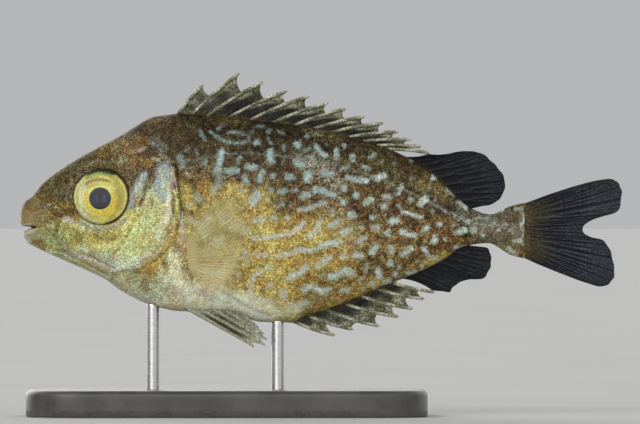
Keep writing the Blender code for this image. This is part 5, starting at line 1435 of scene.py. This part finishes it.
@dataclass
class SpinyFin:
    """A fin of strong spines joined by a deeply notched membrane."""

    name: str
    spines: list[tuple[float, float, float]]
    on_back: bool
    columns: int = 30
    rows: int = 44
    sunk: float = 0.4
    lean: float = 0.1
    membrane_half: float = 0.07
    spine_half: float = 0.25
    end_at: float = 0.985
    leave_at: float = 0.965
    meet_at: float = 0.65
    first_meet_at: float = 0.45
    edge_pale: float = 0.45
    pale_from: float = 0.7
    front_darks: tuple[float, float] = (0.4, 0.75)
    dark: float = 0.95
    finish: FinFinish = FinFinish("spiny_fin", Speckle(0.17, 0.4, 1.9, (1.05, 1.0, 0.9), hue_share=0.3))

    def spine(self, i: int, share: Array) -> Array:
        """Points on a spine at shares of its length, as (x, y, z), bowed a little back."""
        root_x, tip_x, tip_z = self.spines[i]
        root = BODY.edge(np.array(root_x), self.on_back, -self.sunk)
        tip = np.array([tip_x, tip_z])
        run = tip - root
        bow = np.array([run[1], -run[0]]) * (-0.03 if self.on_back else 0.03)
        flat = root + run * share[..., None] + bow * (4 * share * (1 - share))[..., None]
        lean = (self.lean if i % 2 else -self.lean) * np.sin(math.pi * share)
        return np.stack([flat[..., 0], lean, flat[..., 1]], -1)

    def bands(self, i: int, share: Array) -> Array:
        """The light and dark bands along a spine, as a wave between -1 and 1."""
        return np.sin(math.tau * (2.2 * share + 0.37 * i))

    def edge(self, i: int, share: Array) -> Array:
        """The membrane's free edge behind a spine, as (x, y, z)."""
        leave, turn = self.spine(i, np.array(self.leave_at)), self.spine(i, np.array(self.leave_at - 0.1))
        meet_at = self.meet_at if i else self.first_meet_at
        meet, rise = self.spine(i + 1, np.array(meet_at)), self.spine(i + 1, np.array(meet_at - 0.04))
        bend = turn + (meet - turn) * 0.22
        low = rise + (turn - rise) * 0.28
        t = share[..., None]
        return leave * (1 - t) ** 3 + 3 * bend * t * (1 - t) ** 2 + 3 * low * t * t * (1 - t) + meet * t**3

    def membrane(self, work: Patchwork, i: int) -> None:
        """The membrane between a spine and the next one."""
        t = np.linspace(0, 1, self.rows)[:, None]
        s = np.linspace(0, 1, self.columns)[None]
        meet_at = self.meet_at if i else self.first_meet_at
        first, last = self.spine(i, t * self.leave_at), self.spine(i + 1, t * meet_at)
        root_x = self.spines[i][0] + (self.spines[i + 1][0] - self.spines[i][0]) * s[0]
        roots = BODY.edge(root_x, self.on_back, -self.sunk)
        roots = np.stack([roots[:, 0], np.zeros(self.columns), roots[:, 1]], -1)[None]
        edge = self.edge(i, s[0])[None]
        u, v = s[..., None], t[..., None]
        corners = (first[:1] * (1 - u) + last[:1] * u) * (1 - v) + (first[-1:] * (1 - u) + last[-1:] * u) * v
        middles = first * (1 - u) + last * u + roots * (1 - v) + edge * v - corners
        middles[..., 1] += 0.06 * np.sin(2 * math.pi * s) * np.sin(math.pi * t)
        near = np.minimum(s, 1 - s)
        halves = self.membrane_half + 0.1 * bell(near, 0.1) * (1 - 0.6 * t) + 0.015 * np.cos(14 * math.pi * s)
        halves = halves * (1 - 0.6 * ramp(t, 0.9, 1.0))
        gap = np.linalg.norm(last - first, axis=-1)
        behind, ahead = s * gap, (1 - s) * gap
        reach = np.minimum(1.0, gap / 1.7)
        band = 0.5 + 0.6 * ramp(t, 0.25, 0.85)
        dark = ramp(behind / reach, band - 0.3, band + 0.15) * ramp(ahead, -0.05, 0.2)
        dark = dark * (1 - self.edge_pale * ramp(t, self.pale_from, 0.95))
        blotch = 0.5 + 0.5 * self.bands(i, t)
        ground = coated(
            plain(Hue.FIN_OLIVE, halves),
            (Hue.SPINE_WHITE, 0.36 * blotch),
            (Hue.FIN_PALE, 0.5 * (1 - blotch)),
            (Hue.FIN_DARK, 0.6 * bell(behind - 0.36, 0.1)),
            (Hue.FIN_DARK, (*self.front_darks, self.dark)[min(i, 2)] * dark),
            (Hue.BROWN, 0.9 * (1 - ramp(t, 0.08, 0.24))),
        )
        work.add_sheet(middles, SIDEWAYS, halves, {"ground": ground, "grain": np.ones(halves.shape)})

    def build(self) -> Patchwork:
        """Shapes and paints the spines and their membranes."""
        work = Patchwork()
        share = np.linspace(0, 1, 40)
        for i in range(len(self.spines)):
            spots = self.spine(i, share * self.end_at)
            blunt = np.sqrt(1 - ramp(share, 0.955, 1.0) ** 2 * 0.97)
            radii = self.spine_half * blunt
            ground = coated(
                plain(Hue.SPINE_WHITE, share),
                (Hue.FIN_OLIVE, 0.5 + 0.4 * self.bands(i, share)),
                (Hue.BROWN, 0.85 * (1 - ramp(share, 0.06, 0.2))),
                (Hue.SPINE_PINK, 0.6 * ramp(share, 0.85, 0.98)),
            )
            work.add_tube(spots, radii, 1.1, 14, {"ground": ground, "grain": np.full(len(share), 0.8)})
            if i + 1 < len(self.spines):
                self.membrane(work, i)
        return work

    def dress(self) -> None:
        """Makes the fin, in place of the frame's."""
        self.build().piece(f"{self.name}_web", self.finish.material(), "spiny_fin", self.name)


@dataclass
class SoftFin:
    """A thin fin of branching soft rays in the middle plane."""

    name: str
    rays: int
    roots: tuple[float, float]
    outline: Line
    on_back: bool
    sunk: float = 0.35
    per_ray: int = 16
    rows: int = 56
    membrane_half: float = 0.045
    ray_half: float = 0.17
    scallop: float = 0.12
    joints_per_mm: float = 1.6
    sag: float = 0.5
    glow: Hue = Hue.RAY_GREY
    finish: FinFinish = FinFinish("dark_fin", Speckle(0.16, 0.55, 1.7, WHITE, hue_share=0.2))

    def root_line(self, share: Array) -> Array:
        """The fin's root, as (x, z)."""
        x = self.roots[0] + (self.roots[1] - self.roots[0]) * share
        return BODY.edge(x, self.on_back, -self.sunk)

    def end_line(self, share: Array) -> Array:
        """The fin's free edge, as (x, z)."""
        return evenly(self.outline, share)

    def build(self) -> Patchwork:
        """Shapes and paints the fin."""
        s, t, across = ray_grid(self.rays, self.per_ray, self.rows)
        root, end = self.root_line(s[0]), self.end_line(s[0])
        reach = np.linalg.norm(end - root, axis=1)
        flat = fanned(root, end, across, t, self.scallop)
        bow = (-1 if self.on_back else 1) * self.sag * 4 * t * (1 - t) * (1 - s) ** 3
        ridge = branches(across, t)
        wave = 0.09 * np.sin(math.tau * (s * self.rays / 4 + 0.15)) * t
        middles = np.stack([flat[..., 0], wave, flat[..., 1] + bow], -1)
        joints = 1 + 0.12 * np.cos(math.tau * t * reach * self.joints_per_mm) * ramp(t, 0.2, 0.4)
        halves = self.membrane_half + (self.ray_half - 0.09 * t) * ridge * joints
        paint = {"ground": self.tones(ridge, t), "grain": np.ones(halves.shape)}
        return Patchwork().add_sheet(middles, SIDEWAYS, halves, paint)

    def tones(self, ridge: Array, t: Array) -> Array:
        """The fin's colours: dark membrane, and rays that pale towards the root."""
        return coated(
            plain(Hue.CHARCOAL, ridge),
            (self.glow, (0.72 + 0.13 * np.cos(math.tau * 22 * t)) * ridge),
            (Hue.BROWN, 0.5 * (1 - ramp(t, 0.03, 0.12))),
        )

    def dress(self) -> None:
        """Makes the fin, in place of the frame's."""
        self.build().piece(f"{self.name}_web", self.finish.material(), "dark_fin", self.name)


@dataclass
class TailFin(SoftFin):
    """The forked tail, whose rays fan out from the end of the stem."""

    root_x: float = 75.2

    def root_line(self, share: Array) -> Array:
        """The line across the end of the stem."""
        top, bottom = BODY.back(self.roots[0]) - 0.25, BODY.belly(self.roots[0]) + 0.25
        return np.stack([np.full(share.shape, self.root_x), top + (bottom - top) * share], -1)

    def end_line(self, share: Array) -> Array:
        """The tail's outline, in the same order as the frame's rays."""
        return along(self.outline, share * (len(self.outline) - 1))

    def tones(self, ridge: Array, t: Array) -> Array:
        """The tail's colours: charcoal, with an orange-brown base."""
        return coated(
            super().tones(ridge, t),
            (Hue.TAIL_BASE, (1 - ramp(t, 0.12, 0.42)) * (0.35 + 0.65 * ridge)),
            (Hue.TAIL_ORANGE, 0.85 * (1 - ramp(t, 0.0, 0.14))),
            (Hue.RAY_GREY, 0.25 * ramp(t, 0.55, 1.0)),
        )


@dataclass
class PectoralFins:
    """The two pectoral fins: clear yellowish fans that lie along the flanks."""

    rays: int = 17
    per_ray: int = 12
    rows: int = 64
    base_half: float = 0.12
    base_share: float = 0.3
    base_clear: float = -0.18
    scallop: float = 0.22
    clear: float = 0.85
    lift: float = 1.5
    membrane_half: float = 0.04
    ray_half: float = 0.13
    web_cover: float = 0.15
    ray_cover: float = 0.52
    base_cover: float = 0.8
    finish: FinFinish = FinFinish(
        "clear_fin", Speckle(0.2, 0.75, 1.25, WHITE, hue_share=0.15, glint=1.0), clear=True
    )

    def build(self, side: Side) -> Patchwork:
        """Shapes and paints one fan."""
        s, t, across = ray_grid(self.rays, self.per_ray, self.rows)
        root = along(PECTORAL_ROOT, s[0] * (len(PECTORAL_ROOT) - 1))
        end = along(PECTORAL_TIPS, s[0] * (len(PECTORAL_TIPS) - 1))
        flat = fanned(root, end, across, t, self.scallop)
        x, z = flat[..., 0], flat[..., 1]
        normal = BODY.normal(x, z)
        base = ramp(t, 0.0, self.base_share)
        lift = self.base_clear + (self.clear - self.base_clear) * base + self.lift * t
        spot = np.stack([x, BODY.flank(x, z), z], -1) + normal * lift[..., None]
        spot[..., 1] += 0.05 * np.sin(math.tau * s * self.rays / 3) * t
        ridge = branches(across, t)
        halves = self.membrane_half + (self.ray_half - 0.06 * t) * ridge + self.base_half * (1 - base)
        dark_rays = ridge**2 * ramp(t, 0.08, 0.2) * (0.15 + 0.75 * (1 - ramp(s, 0.35, 0.8)))
        ground = coated(
            plain(Hue.PECTORAL_PALE, ridge),
            (Hue.PECTORAL_RAY, dark_rays),
            (Hue.CREAM, 0.5 * ridge**2 * ramp(s, 0.45, 0.8)),
            (Hue.PINK, 0.5 * (1 - ramp(t, 0.0, 0.2))),
        )
        cover = self.web_cover + (self.ray_cover - self.web_cover) * ridge**2
        cover = cover + (self.base_cover - cover) * (1 - ramp(t, 0.0, 0.25))
        cover = cover * (1 - 0.7 * ramp(t, 0.82, 1.0)) * (0.35 + 0.65 * ramp(1 - s, 0.0, 0.2))
        paint = {"ground": ground, "grain": np.full(ridge.shape, 0.4), "cover": cover}
        mirror = np.array([1, side.value, 1])
        return Patchwork().add_sheet(spot * mirror, normal * mirror, halves, paint)

    def dress(self) -> None:
        """Makes both fins, in place of the frame's."""
        dress_both(self.build, "pectoral_fin", "fan", self.finish.material(), "clear_fin")


@dataclass
class PelvicFins:
    """The two pelvic fins: a strong outer spine, three branching rays and an inner spine, webbed together."""

    root_y: float = 1.5
    sunk: float = 0.35
    tilt: float = 0.25
    columns: int = 22
    rows: int = 44
    membrane_half: float = 0.05
    radii: tuple[float, ...] = (0.36, 0.2, 0.18, 0.17, 0.3)
    darks: tuple[float, ...] = (0.98, 0.95, 0.6, 0.25)
    finish: FinFinish = FinFinish("pelvic_fin", Speckle(0.18, 0.55, 1.5, (1.05, 1.0, 0.9), hue_share=0.25))

    def ray(self, i: int, share: Array) -> Array:
        """Points along one ray, on the right side."""
        root_x, tip_x, tip_z, tip_y = PELVIC_RAYS[i]
        y = self.root_y
        root = np.array([root_x, y, float(BODY.underside(np.array(root_x), np.array(y))) + self.sunk])
        return root + (np.array([tip_x, tip_y, tip_z]) - root) * share[..., None]

    def build(self, side: Side) -> Patchwork:
        """Shapes and paints one fin."""
        work = Patchwork()
        mirror = np.array([1, side.value, 1])
        share = np.linspace(0, 1, self.rows)
        out = np.array([0.0, 1.0, self.tilt]) / math.hypot(1.0, self.tilt)
        for i, radius in enumerate(self.radii):
            spots = self.ray(i, share)
            stiff = i in (0, len(self.radii) - 1)
            radii = radius * (1 - 0.8 * share if stiff else 1 - 0.6 * share)
            pink = 0.6 * ramp(share, 0.75, 1.0)
            ground = coated(plain(Hue.PELVIC_WHITE, share), (Hue.SPINE_PINK, pink))
            paint = {"ground": ground, "grain": np.full(len(share), 0.7)}
            work.add_tube(spots * mirror, radii, 1.0, 12, paint)
        t, s = share[:, None], np.linspace(0, 1, self.columns)[None]
        for i, darkest in enumerate(self.darks):
            u = s[..., None]
            short = 1 - 0.09 * np.sin(math.pi * s) * t
            middles = self.ray(i, t * short) * (1 - u) + self.ray(i + 1, t * short) * u
            fold = 0.12 * np.sin(math.pi * s) * t
            middles = middles + out * fold[..., None]
            halves = self.membrane_half + 0.05 * bell(np.minimum(s, 1 - s), 0.14) * np.ones_like(t)
            gap = np.linalg.norm(self.ray(i + 1, t) - self.ray(i, t), axis=-1)
            patch = ramp(np.minimum(s, 1 - s) * gap, 0.25, 0.55)
            patch = patch * ramp(t, 0.12, 0.3) * (1 - ramp(t, 0.72, 0.95))
            white = 0.4 + 0.45 * ramp(t, 0.4, 0.9)
            coats = (Hue.PELVIC_WHITE, white), (Hue.PELVIC_DARK, darkest * patch)
            ground = coated(plain(Hue.FIN_OLIVE, halves), *coats)
            paint = {"ground": ground, "grain": np.ones(halves.shape)}
            work.add_sheet(middles * mirror, out * mirror, halves, paint)
        return work

    def dress(self) -> None:
        """Makes both fins, in place of the frame's."""
        dress_both(self.build, "pelvic_fin", "web", self.finish.material(), "pelvic_fin")


@dataclass
class Stand:
    """The display stand: a flat base with rounded corners and edges, and two rods up to the belly."""

    length: float = 60.0
    width: float = 30.0
    height: float = 4.0
    corner: float = 8.0
    bevel: float = 0.8
    middle_x: float = 31.0
    rods: tuple[tuple[str, float], ...] = (("front", 19.9), ("rear", 38.6))
    rod_radius: float = 0.95
    sunk: float = 0.3
    base_finish: LacquerFinish = LacquerFinish()
    rod_finish: SteelFinish = SteelFinish()

    def outline(self, inset: float, height: float) -> Array:
        """One ring of the base, drawn in by an inset, at a height over the floor."""
        angles = np.radians(np.concatenate([np.linspace(90 * k, 90 * k + 90, 19) for k in range(4)]))
        signs_x, signs_y = np.repeat([1, -1, -1, 1], 19), np.repeat([1, 1, -1, -1], 19)
        x = self.middle_x + signs_x * (self.length / 2 - self.corner) + (self.corner - inset) * np.cos(angles)
        y = signs_y * (self.width / 2 - self.corner) + (self.corner - inset) * np.sin(angles)
        return np.stack([x, y, np.full(x.shape, height - AXIS_HEIGHT)], -1)

    def base(self) -> Patchwork:
        """The base, its upper edge rolled over, its top flat."""
        levels = [(0.3, 0.0), (0.0, 0.3), (0.0, 1.2), (0.0, 2.2)]
        for angle in np.radians(np.linspace(0, 90, 9)):
            inset = self.bevel * (1 - math.cos(angle))
            levels.append((inset, self.height - self.bevel + self.bevel * math.sin(angle)))
        levels += [(inset, self.height) for inset in (1.5, 2.5, 4.0, 5.5, 7.0)]
        return Patchwork().add_rings(np.stack([self.outline(*level) for level in levels]), {})

    def rod(self, rod_x: float) -> Patchwork:
        """One rod, its top cut to the belly, its foot and its top drawn in a little."""
        turn = np.linspace(0, math.tau, 48, endpoint=False)
        floor = self.height - AXIS_HEIGHT
        x, y = rod_x + self.rod_radius * np.cos(turn), self.rod_radius * np.sin(turn)
        top = BODY.underside(x, y) + self.sunk
        shares = np.concatenate([[0, 0.01], np.linspace(0.02, 0.99, 24), [1.0]])
        slim = np.where((shares == 0) | (shares == 1), 0.93, 1.0)
        rings = [
            np.stack([rod_x + (x - rod_x) * thin, y * thin, floor - 0.2 + (top - floor + 0.2) * share], -1)
            for share, thin in zip(shares, slim)
        ]
        return Patchwork().add_rings(np.stack(rings), {})

    def dress(self) -> None:
        """Makes the base and the rods, in place of the frame's."""
        self.base().piece("display_base", self.base_finish.material(), "stand_base", "stand_base")
        finish = self.rod_finish.material()
        for name, rod_x in self.rods:
            self.rod(rod_x).piece(f"display_rod_{name}", finish, "stand_rod", f"stand_rod_{name}")


@dataclass(frozen=True)
class Sun:
    """A broad soft light: its turn round the fish, its rise and its breadth in degrees, its strength."""

    name: str
    turn: float
    rise: float
    breadth: float
    strength: float
    tone: Tone


@dataclass
class Studio:
    """The plain pale floor, the soft lights and the camera."""

    lens: float = 600.0
    sensor: float = 36.0
    distance: float = 1599.0
    clip: tuple[float, float] = (0.01, 60.0)
    aim_x: float = 44.925
    aim_z: float = 0.6
    floor_radius: float = 18.0
    floor_tone: Tone = (0.50, 0.50, 0.495)
    world_tone: Tone = (0.80, 0.81, 0.82)
    world_strength: float = 0.58
    suns: tuple[Sun, ...] = (
        Sun("key_sun", -26.0, 20.0, 50.0, 2.0, (1.0, 0.985, 0.96)),
        Sun("fill_sun", 34.0, 6.0, 70.0, 1.1, (0.97, 0.985, 1.0)),
        Sun("back_key_sun", 206.0, 16.0, 50.0, 1.6, (1.0, 0.985, 0.96)),
        Sun("back_fill_sun", 146.0, 6.0, 70.0, 0.9, (0.97, 0.985, 1.0)),
    )

    def floor(self) -> None:
        """A wide plain disc under the base, with a faint mottle."""
        look = Shader("studio_floor")
        cloud = look.eased(look.noise(40.0, 3.0), 0.3, 0.7, 0.97, 1.0)
        look.set(Base_Color=look.scaled(self.floor_tone, cloud), Roughness=0.9, Specular_IOR_Level=0.1)
        build = bmesh.new()
        bmesh.ops.create_circle(build, cap_ends=True, radius=self.floor_radius, segments=96)
        mesh = bpy.data.meshes.new("studio_floor")
        build.to_mesh(mesh)
        build.free()
        mesh.materials.append(look.material)
        floor = bpy.data.objects.new("studio_floor", mesh)
        bpy.context.scene.collection.objects.link(floor)

    def light(self, sun: Sun) -> None:
        """One broad soft light, aimed at the fish."""
        lamp = bpy.data.lights.new(sun.name, "SUN")
        lamp.angle, lamp.energy, lamp.color = math.radians(sun.breadth), sun.strength, sun.tone
        obj = bpy.data.objects.new(sun.name, lamp)
        turn, rise = math.radians(sun.turn), math.radians(sun.rise)
        away = Vector((math.sin(turn) * math.cos(rise), -math.cos(turn) * math.cos(rise), math.sin(rise)))
        obj.rotation_euler = (-away).to_track_quat("-Z", "Y").to_euler()
        bpy.context.scene.collection.objects.link(obj)

    def camera(self) -> None:
        """A level camera that looks along +Y, framed as the photograph is."""
        data = bpy.data.cameras.new("camera")
        data.lens, data.sensor_width = self.lens, self.sensor
        data.clip_start, data.clip_end = self.clip
        camera = bpy.data.objects.new("camera", data)
        aim = Vector((self.aim_x - TOTAL_LENGTH / 2, -self.distance, self.aim_z + AXIS_HEIGHT))
        camera.location = aim * MM
        camera.rotation_euler = (math.radians(90), 0.0, 0.0)
        bpy.context.scene.collection.objects.link(camera)
        bpy.context.scene.camera = camera

    def dress(self) -> None:
        """Sets the floor, the lights, the world and the camera."""
        self.floor()
        for sun in self.suns:
            self.light(sun)
        world = bpy.data.worlds.new("studio")
        world.use_nodes = True
        background = world.node_tree.nodes["Background"]
        background.inputs["Color"].default_value = (*self.world_tone, 1.0)
        background.inputs["Strength"].default_value = self.world_strength
        bpy.context.scene.world = world
        bpy.context.scene.view_settings.view_transform = "Standard"
        self.camera()


def main() -> None:
    """Builds and dresses every piece of the model in order."""
    logging.basicConfig(level=logging.INFO, format="%(name)s: %(message)s")
    LOG.info("skin and eyes")
    Flesh().dress()
    Eyes().dress()
    LOG.info("fins")
    SpinyFin("dorsal_fin_spines", DORSAL_SPINES, True).dress()
    SpinyFin(
        "anal_fin_spines", ANAL_SPINES, False, edge_pale=0.95, pale_from=0.25, front_darks=(0.8, 0.75)
    ).dress()
    SoftFin("dorsal_fin_soft", 10, (56.0, 67.4), SOFT_DORSAL_EDGE, True).dress()
    SoftFin("anal_fin_soft", 9, (56.5, 66.4), SOFT_ANAL_EDGE, False).dress()
    TailFin("tail_fin", 18, (75.6, 75.6), TAIL_OUTLINE, True, sag=0.0, glow=Hue.TAIL_RAY).dress()
    PectoralFins().dress()
    PelvicFins().dress()
    LOG.info("stand and studio")
    Stand().dress()
    Studio().dress()


if __name__ == "__main__":
    main()
